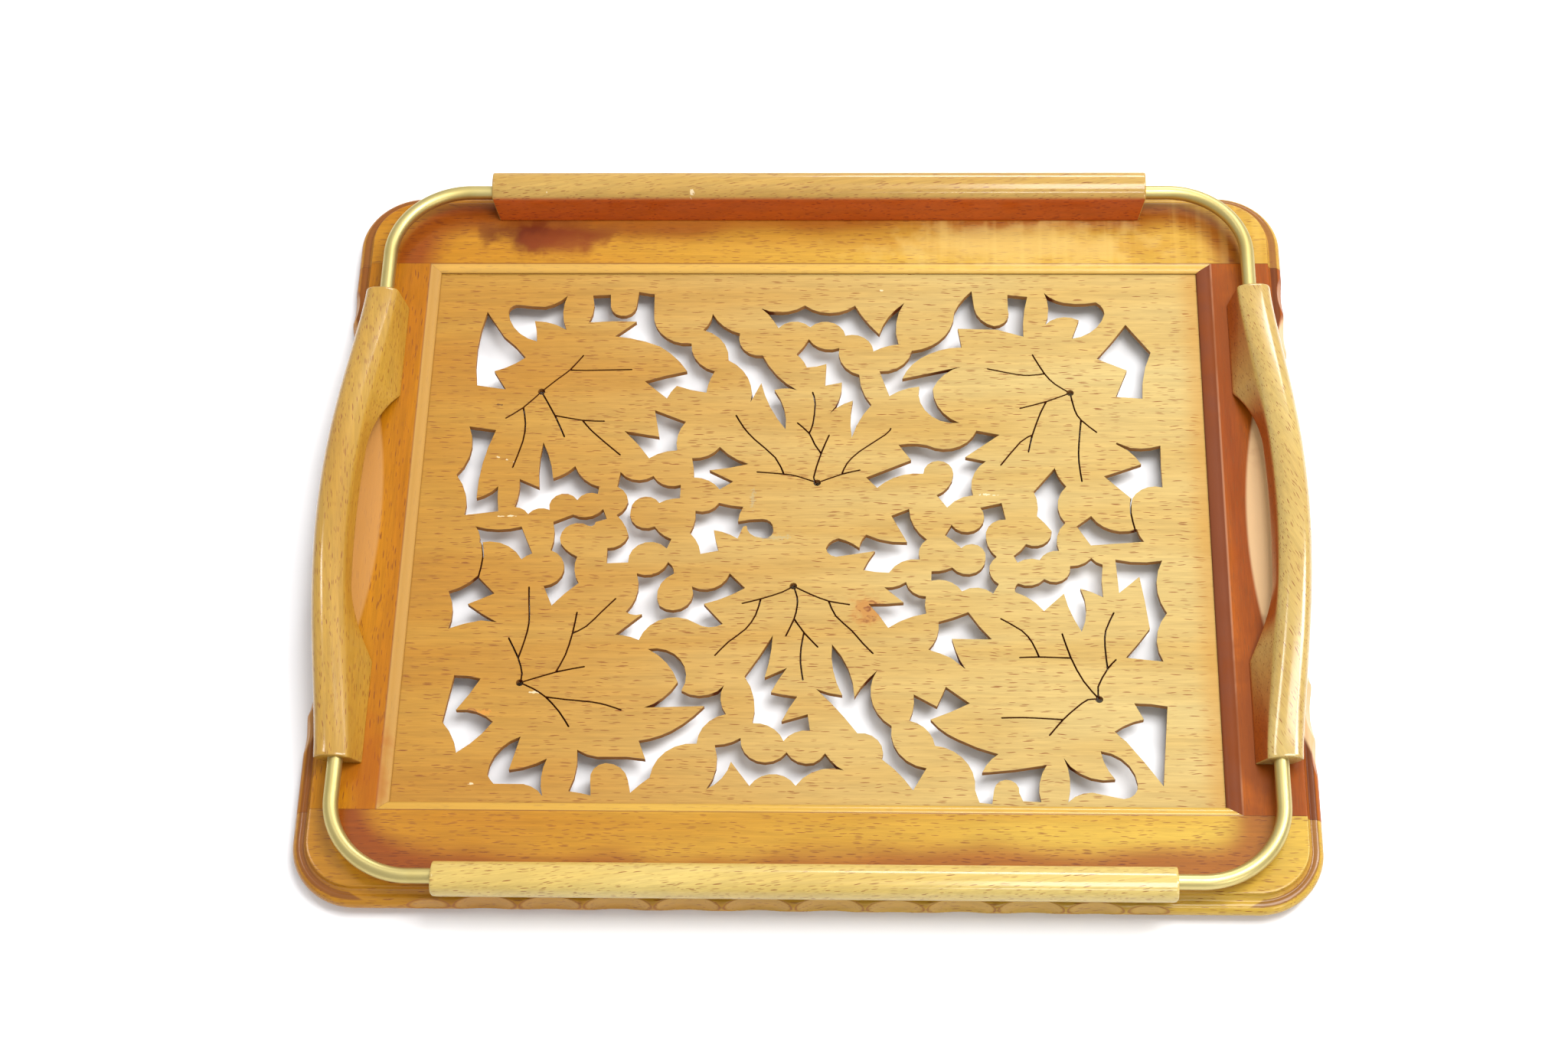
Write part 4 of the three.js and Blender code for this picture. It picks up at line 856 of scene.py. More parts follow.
@dataclass(frozen=True)
class MetalFinish:
    """Satin metal: its colour is dulled in clouds, and its surface is finely rough."""

    name: str
    colour: Colour
    dull: Colour
    roughness: float
    bump: float = 0.03

    def material(self) -> bpy.types.Material:
        """The finish as a material, with one noise for the clouds and a fine one for the relief.

        Returns:
            The new material.
        """
        made, graph, place = blank_material(self.name)
        cloud = graph.noise(place, 45.0, 4.0)
        fine = graph.noise(place, 2600.0, 2.0)
        dulled = graph.remap(cloud, 0.3, 0.72)
        both = graph.math("MULTIPLY_ADD", fine, 0.4, graph.times(cloud, 0.6))
        relief = {"Strength": 0.2, "Distance": self.bump * MM, "Height": fine}
        graph.shade(
            {
                "Base Color": graph.mix(dulled, (*self.colour, 1), (*self.dull, 1)),
                "Metallic": 1.0,
                "Roughness": graph.remap(both, 0.3, 0.7, self.roughness - 0.05, self.roughness + 0.1),
                "Normal": graph.node("ShaderNodeBump", relief).outputs[0],
            }
        )
        return made


@dataclass
class EdgeMoulding:
    """Outer edge of the frame: a cove, a quirk, a bead and a fillet, with scallops carved into it.

    A profile point is (u, w): u outwards from the top arris, w down from the top face.
    """

    width: float = 6.0
    bead_radius: float = 3.2
    bead_drop: float = 6.5
    quirk_angle: float = 106.0
    arris_round: float = 0.45
    fillet_drop: float = 10.4
    foot_round: float = 0.5
    scoop_radius: float = 33.0
    scoop_lean: float = 25.7
    scoop_top: Pair = (1.2, 1.5)
    scoop_half: float = 12.75
    widest_half: float = 13.5
    longest_reach: float = 15.0
    uncarved: float = 20.0
    support: float = 0.8

    def profile(self, thickness: float) -> Array:
        """The profile from the top face down to the underside.

        The cove is a quarter ellipse from the arris to the quirk, and the bead an arc about its centre.

        Args:
            thickness: thickness of the frame.

        Returns:
            Array of (u, w) points.
        """
        middle = self.width - self.bead_radius
        start = math.radians(self.quirk_angle)
        quirk_out = middle + self.bead_radius * math.cos(start)
        quirk_drop = self.bead_drop - self.bead_radius * math.sin(start)
        r = self.arris_round
        turn = np.linspace(0, 1, 5)[:, None]
        eased = bezier(np.array([-r, 0.0]), np.array([0.0, 0.0]), np.array([0.02, r]), turn)
        a = np.linspace(math.radians(82), math.radians(2), 11)
        cove = pairs(quirk_out * (1 - np.sin(a)), quirk_drop * np.cos(a))
        phi = np.linspace(start, -math.pi / 2, 30)
        bead = np.array([middle, self.bead_drop]) + self.bead_radius * pairs(np.cos(phi), -np.sin(phi))
        foot = self.foot_round
        fillet = np.array(
            [
                [middle, self.fillet_drop],
                [middle, thickness - 0.9],
                [middle, thickness - foot],
                [middle - 0.3 * foot, thickness - 0.3 * foot],
                [middle - foot, thickness],
            ]
        )
        flat = np.array([[-r - self.support, 0.0]])
        return np.concatenate([flat, eased, cove, bead, fillet])

    def carve(self, profile: Array, limit: Array) -> tuple[Array, Array]:
        """Cuts the scallops: no point stays further out than a leaning cylinder allows.

        The distance of (u, w) in front of the scoop's deepest line is (u - u0) cos lean - (w - w0) sin
        lean. Where it is over the limit, the point is moved back square to that line.

        Args:
            profile: (u, w) points of shape (cols, 2).
            limit: distance allowed on each row, of shape (rows,).

        Returns:
            The points, of shape (rows, cols, 2), and how far each was moved.
        """
        lean = math.radians(self.scoop_lean)
        square = np.array([math.cos(lean), -math.sin(lean)])
        ahead = (profile - np.array(self.scoop_top)) @ square
        over = np.maximum(ahead[None, :] - limit[:, None], 0)
        return profile[None] - over[..., None] * square, over

    def sagitta(self, reach: float | Array) -> float | Array:
        """How far the scoop's circle falls back beside its middle: r less the root of r^2 - reach^2."""
        return self.scoop_radius - np.sqrt(self.scoop_radius**2 - reach**2)

    def limits(self, along: Array, cusps: tuple[float, ...]) -> Array:
        """How far out the carving leaves the wood at each place along an edge.

        Between two cusps the limit is the sagitta of the scoop's circle: 0 in the middle, most at the
        cusps. A narrower scallop is shallower, so its deepest line stands further out.

        Args:
            along: places along the edge.
            cusps: places where scallops meet, in rising order.

        Returns:
            The limit at each place; a large number outside the carving.
        """
        marks = np.array(cusps)
        which = np.clip(np.searchsorted(marks, along) - 1, 0, len(marks) - 2)
        middle = (marks[which] + marks[which + 1]) / 2
        half = np.minimum((marks[which + 1] - marks[which]) / 2, self.widest_half)
        reach = np.clip(np.abs(along - middle), 0, self.longest_reach)
        limit = self.sagitta(self.scoop_half) - self.sagitta(half) + self.sagitta(reach)
        inside = (along > marks[0]) & (along < marks[-1])
        return np.where(inside, limit, self.uncarved)


@dataclass
class Frame:
    """The four mouldings round the panel: two rails with the corners on them, and two stiles between."""

    length: float = 400.0
    depth: float = 340.0
    thickness: float = 13.0
    stile_width: float = 38.3
    rail_width: float = 42.9
    corner_radius: float = 26.5
    sight_width: float = 4.2
    ovolo_width: float = 3.3
    ovolo_rise: float = 1.5
    sight_fillet: float = 0.4
    groove_depth: float = 5.8
    groove_room: float = 0.3
    joint_gap: float = 0.05
    sight_out: float = 1.3
    butt_out: Pair = (2.1, 3.6)
    row_step: float = 0.6
    screw_hole: float = 3.8
    pilot_hole: float = 2.05
    hole_depth: float = 12.0
    hole_points: int = 32
    moulding: EdgeMoulding = field(default_factory=EdgeMoulding)
    cusps: dict[Side, tuple[float, ...]] = field(
        default_factory=lambda: {
            Side.FRONT: (-152.5, -134.5, -109.3, -84.5, -57.6, -31.4, -3.8, 23.3, 46.4, 73.3, 99.4, 122.1, 139.3),
            Side.BACK: (-141.0, -118.0, -92.0, -66.5, -40.0, -14.0, 12.5, 38.5, 64.5, 91.0, 117.0, 142.0),
            Side.LEFT: (-104.9, -88.1, -64.1, -36.0, -8.1, 19.9, 47.9, 75.8, 102.5, 120.0),
            Side.RIGHT: (-112.0, -95.4, -71.2, -44.7, -17.9, 8.8, 35.5, 62.2, 88.9, 108.3, 127.0),
        }
    )

    def __post_init__(self) -> None:
        """Works out the sight and butt lines."""
        self.sight_x = self.length / 2 - self.stile_width
        self.sight_y = self.depth / 2 - self.rail_width
        self.butt_x = self.sight_x + self.sight_width
        self.butt_y = self.sight_y + self.sight_width

    def sight_profile(self) -> Array:
        """Inner profile from the top face down, round the groove, to the underside.

        Returns:
            Array of (d, z) points, d back from the sight line.
        """
        base = PANEL_TOP + self.sight_fillet
        a = np.linspace(math.pi / 2, 0, 9)
        ovolo = pairs(self.ovolo_width * (1 - np.cos(a)), base + self.ovolo_rise * np.sin(a))
        wide, thick = self.sight_width, self.thickness
        top = np.array([[wide + 1.0, thick], [wide + 0.25, thick], [wide - 0.15, thick - 0.12]])
        low = PANEL_BOTTOM - self.groove_room
        high = PANEL_TOP + self.groove_room
        deep = self.groove_depth
        rest = np.array([[0, high], [deep, high], [deep, low], [0, low], [0, 0.4], [0.3, 0.0]])
        return np.concatenate([top, ovolo, rest])

    def rail_contour(self) -> tuple[Array, Array]:
        """Outermost line of a rail on the +y side, from its left butt to its right one.

        Returns:
            Points and outward directions, each of shape (rows, 2).
        """
        r = self.corner_radius
        cx = self.length / 2 - r
        cy = self.depth / 2 - r
        side = np.linspace(self.butt_y, cy, 10, endpoint=False)
        turn = np.linspace(math.pi, math.pi / 2, 40, endpoint=False)
        run = np.linspace(-cx, 0, int(cx / self.row_step), endpoint=False)
        bend = pairs(-cx + r * np.cos(turn), cy + r * np.sin(turn))
        points = np.concatenate([pairs(-cx - r, side), bend, pairs(run, cy + r)])
        turned = pairs(np.cos(turn), np.sin(turn))
        outward = np.concatenate([pairs(-np.ones_like(side), 0.0), turned, pairs(np.zeros_like(run), 1.0)])
        middle = np.array([[0.0, cy + r]])
        flip = np.array([-1.0, 1.0])
        points = np.concatenate([points, middle, points[::-1] * flip])
        outward = np.concatenate([outward, [[0.0, 1.0]], outward[::-1] * flip])
        return points, outward

    def outer_grid(self, points: Array, outward: Array, limit: Array) -> tuple[Array, Array]:
        """The edge moulding carried along a contour.

        Args:
            points: contour, shape (rows, 2).
            outward: unit directions, shape (rows, 2).
            limit: carving limit of each row.

        Returns:
            Points, of shape (rows, cols, 3), and the carving's depth at each.
        """
        cut, depth = self.moulding.carve(self.moulding.profile(self.thickness), limit)
        back = self.moulding.width - cut[..., 0]
        plan = points[:, None, :] - outward[:, None, :] * back[..., None]
        return np.concatenate([plan, self.thickness - cut[..., 1:]], axis=-1), depth

    def holes(self, shell: Shell, loop: Array, centres: list[Pair]) -> None:
        """Closes the underside with a flat face that has countersunk holes in it.

        A hole is a pile of level rings: the head's wide mouth, then down the cone to the pilot hole.

        Args:
            shell: the shell to add to.
            loop: outline of the underside, shape (n, 3).
            centres: middles of the holes.
        """
        mouth, pilot, deep = self.screw_hole, self.pilot_hole, self.hole_depth
        steps = [(mouth, 0.0), (mouth, 0.6), (pilot, 2.7), (pilot, deep), (0.0, deep)]
        walls = [np.stack([level_ring(c, size, z, self.hole_points) for size, z in steps]) for c in centres]
        loops = [loop, *(wall[0] for wall in walls)]
        faces = tessellate_polygon([[Vector(p) for p in part] for part in loops])
        shell.add(np.concatenate(loops), [list(face) for face in faces])
        for wall in walls:
            shell.add_grid(wall, closed=True)

    def build_rail(self, side: Side, finish: bpy.types.Material, centres: list[Pair]) -> None:
        """Makes the front or back rail.

        Each row runs from the outer contour across the flat top and round the sight moulding. Its inner
        end lies at x_in, which moves evenly along the butt line, and a point of the moulding at depth d
        lies at x_in (sight + d) / butt, which gives the mitres.

        Args:
            side: front or back.
            finish: its material.
            centres: screw holes in the underside.
        """
        points, outward = self.rail_contour()
        carved = self.moulding.limits(points[:, 0], self.cusps[side])
        limit = np.where(outward[:, 1] > 0.999, carved, self.moulding.uncarved)
        outer, depth = self.outer_grid(points, outward, limit)
        profile = self.sight_profile()
        x_in = np.linspace(-self.butt_x, self.butt_x, len(points))
        d = profile[:, 0]
        x = x_in[:, None] * ((self.sight_x + d) / self.butt_x)[None, :]
        x = np.clip(x, -self.length / 2 + 10, self.length / 2 - 10)
        y = np.tile(self.sight_y + d, (len(points), 1))
        y[[0, -1]] = np.minimum(y[[0, -1]], self.butt_y)
        z = np.broadcast_to(profile[None, :, 1], x.shape)
        inner = np.stack([x, y, z], axis=-1)
        self.finish_member(f"{side.word}_rail", outer, depth, inner, (1.0, side.sign, 1.0), centres, finish)

    def build_stile(self, side: Side, finish: bpy.types.Material, centres: list[Pair]) -> None:
        """Makes the left or right stile: rows across it, with its moulding mitred at both ends.

        Args:
            side: left or right.
            finish: its material.
            centres: screw holes in the underside.
        """
        end = self.butt_y - self.joint_gap
        rows = int(2 * end / self.row_step)
        y_row = np.linspace(-end, end, rows)
        points = pairs(self.length / 2, y_row)
        outward = pairs(np.ones(rows), 0.0)
        limit = self.moulding.limits(y_row, self.cusps[side])
        outer, depth = self.outer_grid(points, outward, limit)
        profile = self.sight_profile()
        d = profile[:, 0]
        reach = np.minimum(self.sight_y + d - self.joint_gap * math.sqrt(2), end)
        y = y_row[:, None] * (reach / end)[None, :]
        x = np.broadcast_to((self.sight_x + d)[None, :], y.shape)
        z = np.broadcast_to(profile[None, :, 1], y.shape)
        inner = np.stack([x, y, z], axis=-1)
        self.finish_member(f"{side.word}_stile", outer, depth, inner, (side.sign, 1.0, 1.0), centres, finish)

    def widen(self, x: Array) -> Array:
        """Moves the sight line and the moulding beside the stiles outwards, as in the photo.

        The shift goes evenly from one value at the sight line to another at the butt line, and then
        down to nothing within ten millimetres.

        Args:
            x: places along the tray's length in millimetres.

        Returns:
            The moved places.
        """
        places = [0.0, self.sight_x - 1.0, self.sight_x, self.butt_x, self.butt_x + 10.0]
        shifts = ([0.0, self.sight_out, self.sight_out, out, 0.0] for out in self.butt_out)
        left, right = (np.interp(np.abs(x), places, shift) for shift in shifts)
        return x + np.where(x < 0, -left, right)

    def finish_member(
        self,
        node: str,
        outer: Array,
        depth: Array,
        inner: Array,
        flip: Point,
        centres: list[Pair],
        finish: bpy.types.Material,
    ) -> None:
        """Closes a member and hands it over.

        Args:
            node: name of its CAD node.
            outer: grid of the edge moulding.
            depth: the carving's depth at each of its points.
            inner: grid of the sight moulding.
            flip: factor for each axis, which mirrors the member to its side.
            centres: screw holes in the underside.
            finish: its material.
        """
        # Rows run from the underside's outer edge over the top to the underside's inner edge
        rows = np.concatenate([outer[:, ::-1], inner], axis=1) * np.array(flip)
        rows[..., 0] = self.widen(rows[..., 0])
        carved = np.concatenate([depth[:, ::-1], np.zeros(inner.shape[:2])], axis=1)
        shell = Shell()
        shell.add_grid(rows, carved=carved)
        count = rows.shape[1]
        for end in (0, -1):
            shell.add(rows[end], [list(range(count))])
        loop = np.concatenate([rows[:, 0], rows[::-1, -1]])
        self.holes(shell, loop, centres)
        settle(shell.build(f"{node}_moulded"), finish, "frame_beech", node)


@dataclass
class Gallery:
    """The bars and grips that stand on the frame, with the sizes of their common section."""

    top: float = 13.0
    bar_length: float = 284.0
    grip_length: float = 224.0
    left_shift: float = -2.0
    foot_in: float = 9.2
    foot_out: float = 4.0
    flare: float = 1.6
    nose_out: float = 8.6
    nose_height: float = 8.6
    crown_out: float = 3.0
    crown_height: float = 14.8
    arris_in: float = 5.3
    arris_height: float = 10.5
    grip_bow: float = 8.8
    grip_rise: float = 6.5
    grip_foot: float = 48.0
    foot_share: float = 0.95
    end_drop: float = 2.0
    arch_height: float = 9.8
    undercut: float = 2.8
    end_round: float = 0.6
    edge_round: float = 0.7
    arris_round: float = 1.3

    def shift(self, side: Side) -> float:
        """How far the piece on a side stands behind the middle."""
        return self.left_shift if side is Side.LEFT else 0.0

    def arch(self, along: Array) -> Array:
        """Height of the finger opening: two quadratic curves on each side, solved for the place along.

        Args:
            along: places along the grip.

        Returns:
            Height above the frame at each place.
        """
        half = self.grip_length / 2 - self.grip_foot
        place = np.abs(along)

        def branch(y0: float, y1: float, y2: float, h0: float, h1: float, h2: float) -> Array:
            """Height of a quadratic curve at each place, from the root of its equation in place.

            Args:
                y0: place of the curve's start.
                y1: place of its control.
                y2: place of its end.
                h0: height of its start.
                h1: height of its control.
                h2: height of its end.

            Returns:
                The heights.
            """
            a = y0 - 2 * y1 + y2
            b = 2 * (y1 - y0)
            c = y0 - np.clip(place, y2, y0)
            t = (-b - np.sqrt(np.maximum(b * b - 4 * a * c, 0))) / (2 * a)
            t = np.clip(np.where(np.abs(a) < 1e-9, -c / b, t), 0, 1)
            return bezier(h0, h1, h2, t)

        h = self.arch_height
        steep = branch(half, half * 0.88, half * 0.66, 0.0, h * 0.6, h * 0.8)
        flat = branch(half * 0.66, half * 0.4, 0.0, h * 0.8, h, h)
        return np.where(place > half, 0.0, np.where(place > half * 0.66, steep, flat))

    def section(self, along: Array, half: float, is_grip: bool) -> Array:
        """Sections of a bar or grip, each a closed ring from the middle of its underside.

        The outside is a quadratic curve up to the nose, another over to the crown and a third down to
        the inner arris. The inner face is straight. Everything under the finger opening is left off.

        Args:
            along: places along the piece.
            half: half of its length.
            is_grip: whether it bows and rises as a grip does.

        Returns:
            Array of shape (rows, cols, 2) with offset outwards and height.
        """
        place = along / half
        swell = np.clip(1 - place**2, 0, 1) ** 1.5 if is_grip else np.zeros_like(place)
        inside = self.grip_length / 2 - self.grip_foot
        bow = self.grip_bow * swell
        rise = self.grip_rise * swell
        under = smoothstep(inside - np.abs(along), 0, inside / 2)
        foot_bow = self.foot_share * self.grip_bow * under if is_grip else bow
        crown = self.crown_height + rise - (self.end_drop * (1 - swell) if is_grip else 0)
        lift = self.arch(along) if is_grip else np.zeros_like(along)

        def at(offset: Array, height: Array) -> Array:
            """Points of shape (rows, 1, 2)."""
            return pairs(offset, height)[:, None, :]

        low_a = at(self.foot_out + bow, 0 * bow)
        low_b = at(self.foot_out + self.flare + bow, rise)
        nose = at(self.nose_out + bow, self.nose_height + rise)
        shoulder = at(self.nose_out + bow, crown)
        peak = at(self.crown_out + bow, crown)
        fall = at(-self.arris_in / 2 + bow, crown)
        arris = at(-self.arris_in + bow, self.arris_height + rise)
        foot = at(-self.foot_in + foot_bow, 0 * bow)

        # Where the outside passes the opening's height: t^2 (nose - rise) + 2 rise t = lift
        quad = self.nose_height - rise
        start = (np.sqrt(rise**2 + quad * lift) - rise) / quad
        t = start[:, None] + (1 - start[:, None]) * np.linspace(0.06, 1, 14)[None, :]
        outside = bezier(low_a, low_b, nose, t[..., None])
        corner_out = bezier(low_a, low_b, nose, start[:, None, None])
        over = bezier(nose, shoulder, peak, np.linspace(0, 1, 16)[1:, None])
        down = bezier(peak, fall, arris, np.linspace(0, 0.86, 12)[1:, None])
        share = 1 - lift[:, None, None] / arris[..., 1:]
        corner_in = arris + (foot - arris) * share
        face_length = np.linalg.norm(corner_in - arris, axis=-1, keepdims=True)
        face = (corner_in - arris) / face_length
        arris_end = arris + face * self.arris_round
        eased = bezier(down[:, -1:], arris, arris_end, np.linspace(0, 1, 7)[1:, None])
        inner_end = corner_in - face * self.edge_round
        inner = arris_end + (inner_end - arris_end) * np.array([0.08, 0.3, 0.6, 0.92, 1.0])[:, None]
        across = corner_out - corner_in
        width = np.linalg.norm(across, axis=-1, keepdims=True)
        across = across / width
        bottom_in = corner_in + across * self.edge_round
        bottom_out = corner_out - across * self.edge_round
        round_in = bezier(inner_end, corner_in, bottom_in, np.linspace(0, 1, 5)[1:, None])
        round_out = bezier(bottom_out, corner_out, outside[:, :1], np.linspace(0, 1, 5)[:-1, None])
        near_out = bottom_out - across * 0.6
        near_in = bottom_in + across * 0.6
        ring = [near_out, round_out, outside, over, down, eased, inner, round_in, near_in]
        return np.concatenate(ring, axis=1)

    def loft(self, half: float, is_grip: bool) -> Array:
        """Rings of a whole bar or grip, with eased and slanting ends.

        Args:
            half: half of its length.
            is_grip: whether it is a grip.

        Returns:
            Array of shape (rows, cols, 3) with offset outwards, place along and height.
        """
        turn = np.linspace(0, math.pi / 2, 5)[:-1]
        r = self.end_round
        middle = np.linspace(-(half - r), half - r, 190 if is_grip else 60)
        near_end = np.array([half - r - 0.5])
        rounded = half - r + r * np.cos(turn)
        along = np.concatenate([-rounded, -near_end, middle[1:-1], near_end, rounded[::-1]])
        inset = np.zeros_like(along)
        inset[:4] = r * (1 - np.sin(turn))
        inset[-4:] = inset[:4][::-1]
        ring = self.section(along, half, is_grip)
        ahead = np.roll(ring, -1, axis=1) - np.roll(ring, 1, axis=1)
        ahead /= np.maximum(np.linalg.norm(ahead, axis=-1, keepdims=True), 1e-9)
        inward = pairs(-ahead[..., 1], ahead[..., 0])
        ring = ring + inward * inset[:, None, None]
        slope = self.undercut * np.maximum(1 - ring[..., 1] / self.arris_height, 0)
        fade = smoothstep(np.abs(along), half - 12, half)
        reach = along[:, None] - np.sign(along)[:, None] * slope * fade[:, None]
        return np.stack([ring[..., 0], reach, ring[..., 1] + self.top], axis=-1)

    def build(self, side: Side, finish: bpy.types.Material) -> None:
        """Makes the bar or grip on one side.

        Args:
            side: the edge that it stands on.
            finish: its material.
        """
        half = (self.grip_length if side.is_short else self.bar_length) / 2
        rings = self.loft(half, side.is_short)
        offset, reach, z = rings[..., 0], rings[..., 1], rings[..., 2]
        if side.is_short:
            points = np.stack([side.sign * (ROD_X + offset), reach + self.shift(side), z], axis=-1)
            node = f"{side.word}_grip"
        else:
            points = np.stack([reach, side.sign * (ROD_Y + offset), z], axis=-1)
            node = f"{side.word}_bar"
        shell = Shell()
        shell.add_grid(points, closed=True, capped=True)
        settle(shell.build(f"{node}_shaped", 32.0), finish, "gallery_beech", node)


@dataclass
class CornerRods:
    """Four bent rods, each a straight, a quarter bend and a straight."""

    height: float = 21.2
    diameter: float = 6.0
    start_y: float = 94.0
    end_x: float = 124.0
    sides: int = 40

    def centre_line(self) -> tuple[Array, Array]:
        """The rod's middle in the +x +y corner.

        Returns:
            Points and directions square to the rod in plan, each of shape (rows, 2).
        """
        r = ROD_BEND
        turn = np.linspace(0, math.pi / 2, 48)
        up = np.linspace(self.start_y, ROD_Y - r, 12, endpoint=False)
        back = np.linspace(ROD_X - r, self.end_x, 13)[1:]
        bend = pairs(ROD_X - r * (1 - np.cos(turn)), ROD_Y - r * (1 - np.sin(turn)))
        points = np.concatenate([pairs(ROD_X, up), bend, pairs(back, ROD_Y)])
        turned = pairs(np.cos(turn), np.sin(turn))
        square = np.concatenate([pairs(np.ones_like(up), 0.0), turned, pairs(np.zeros_like(back), 1.0)])
        return points, square

    def build(self, finish: bpy.types.Material) -> None:
        """Makes the four rods: a circle of the rod's radius carried along its middle.

        Args:
            finish: their material.
        """
        points, square = self.centre_line()
        out, up = (self.diameter / 2 * circle(self.sides)).T
        plan = points[:, None, :] + square[:, None, :] * out[None, :, None]
        z = np.broadcast_to(self.height + up, plan.shape[:2])
        tube = np.concatenate([plan, z[..., None]], axis=-1)
        for end in (Side.FRONT, Side.BACK):
            for side in (Side.LEFT, Side.RIGHT):
                shell = Shell()
                shell.add_grid(tube * np.array([side.sign, end.sign, 1.0]), closed=True, capped=True)
                node = f"corner_rod_{end.word}_{side.word}"
                settle(shell.build(f"{node}_bent"), finish, "rod_brass", node)


@dataclass
class Screws:
    """Countersunk screws in the underside, each with a cross recess."""

    head: float = 7.0
    shank: float = 3.5
    head_height: float = 2.4
    bottom: float = 0.3
    tip: float = 19.0
    recess: float = 1.5
    arm: float = 2.1
    arm_width: float = 0.55
    inside: float = 3.2
    sides: int = 96

    def places(self, gallery: Gallery) -> dict[str, Pair]:
        """Where each screw stands, a little inside the rods' line.

        Args:
            gallery: sizes of the bars and grips.

        Returns:
            Middle of each screw by the name of its CAD node.
        """
        foot = gallery.grip_length / 2 - gallery.grip_foot / 2
        reach = gallery.bar_length / 2 - gallery.grip_foot
        found = {}
        for side in (Side.FRONT, Side.BACK):
            for i, x in enumerate((-reach, 0.0, reach)):
                found[f"bar_screw_{side.word}_{i + 1}"] = (x, side.sign * (ROD_Y - self.inside))
        for side in (Side.LEFT, Side.RIGHT):
            x = side.sign * (ROD_X - self.inside)
            for end in (Side.FRONT, Side.BACK):
                found[f"grip_screw_{side.word}_{end.word}"] = (x, gallery.shift(side) + end.sign * foot)
        return found

    def build(self, places: dict[str, Pair], finish: bpy.types.Material) -> None:
        """Makes the screws.

        The head's face is a grid of radius and angle whose height falls by the recess where the lesser of
        |x| and |y| is under half an arm's width and the greater is under an arm's length.

        Args:
            places: middle of each screw by the name of its CAD node.
            finish: their material.
        """
        radius = np.concatenate([np.linspace(0.02, 2.6, 20), np.linspace(2.7, self.head / 2 - 0.15, 4)])
        plan = radius[:, None, None] * circle(self.sides)
        narrow = np.min(np.abs(plan), axis=-1)
        wide = np.max(np.abs(plan), axis=-1)
        thin = smoothstep(-narrow, -self.arm_width - 0.12, -self.arm_width + 0.12)
        cut = thin * smoothstep(-wide, -self.arm, -self.arm * 0.45)
        face = np.concatenate([plan, self.bottom + self.recess * cut[..., None]], axis=-1)
        outline = [
            (self.head / 2, self.bottom + 0.15),
            (self.head / 2, self.bottom + 0.35),
            (self.shank / 2, self.bottom + self.head_height),
            (self.shank / 2, self.tip - 2.5),
            (0.4, self.tip),
            (0.01, self.tip),
        ]
        body = [level_ring((0.0, 0.0), r, z, self.sides) for r, z in outline]
        rings = np.concatenate([face, np.stack(body)])
        for node, (cx, cy) in places.items():
            shell = Shell()
            shell.add_grid(rings + np.array([cx, cy, 0.0]), closed=True, capped=True)
            settle(shell.build(f"{node}_crossed", 30.0), finish, "screw_steel", node)


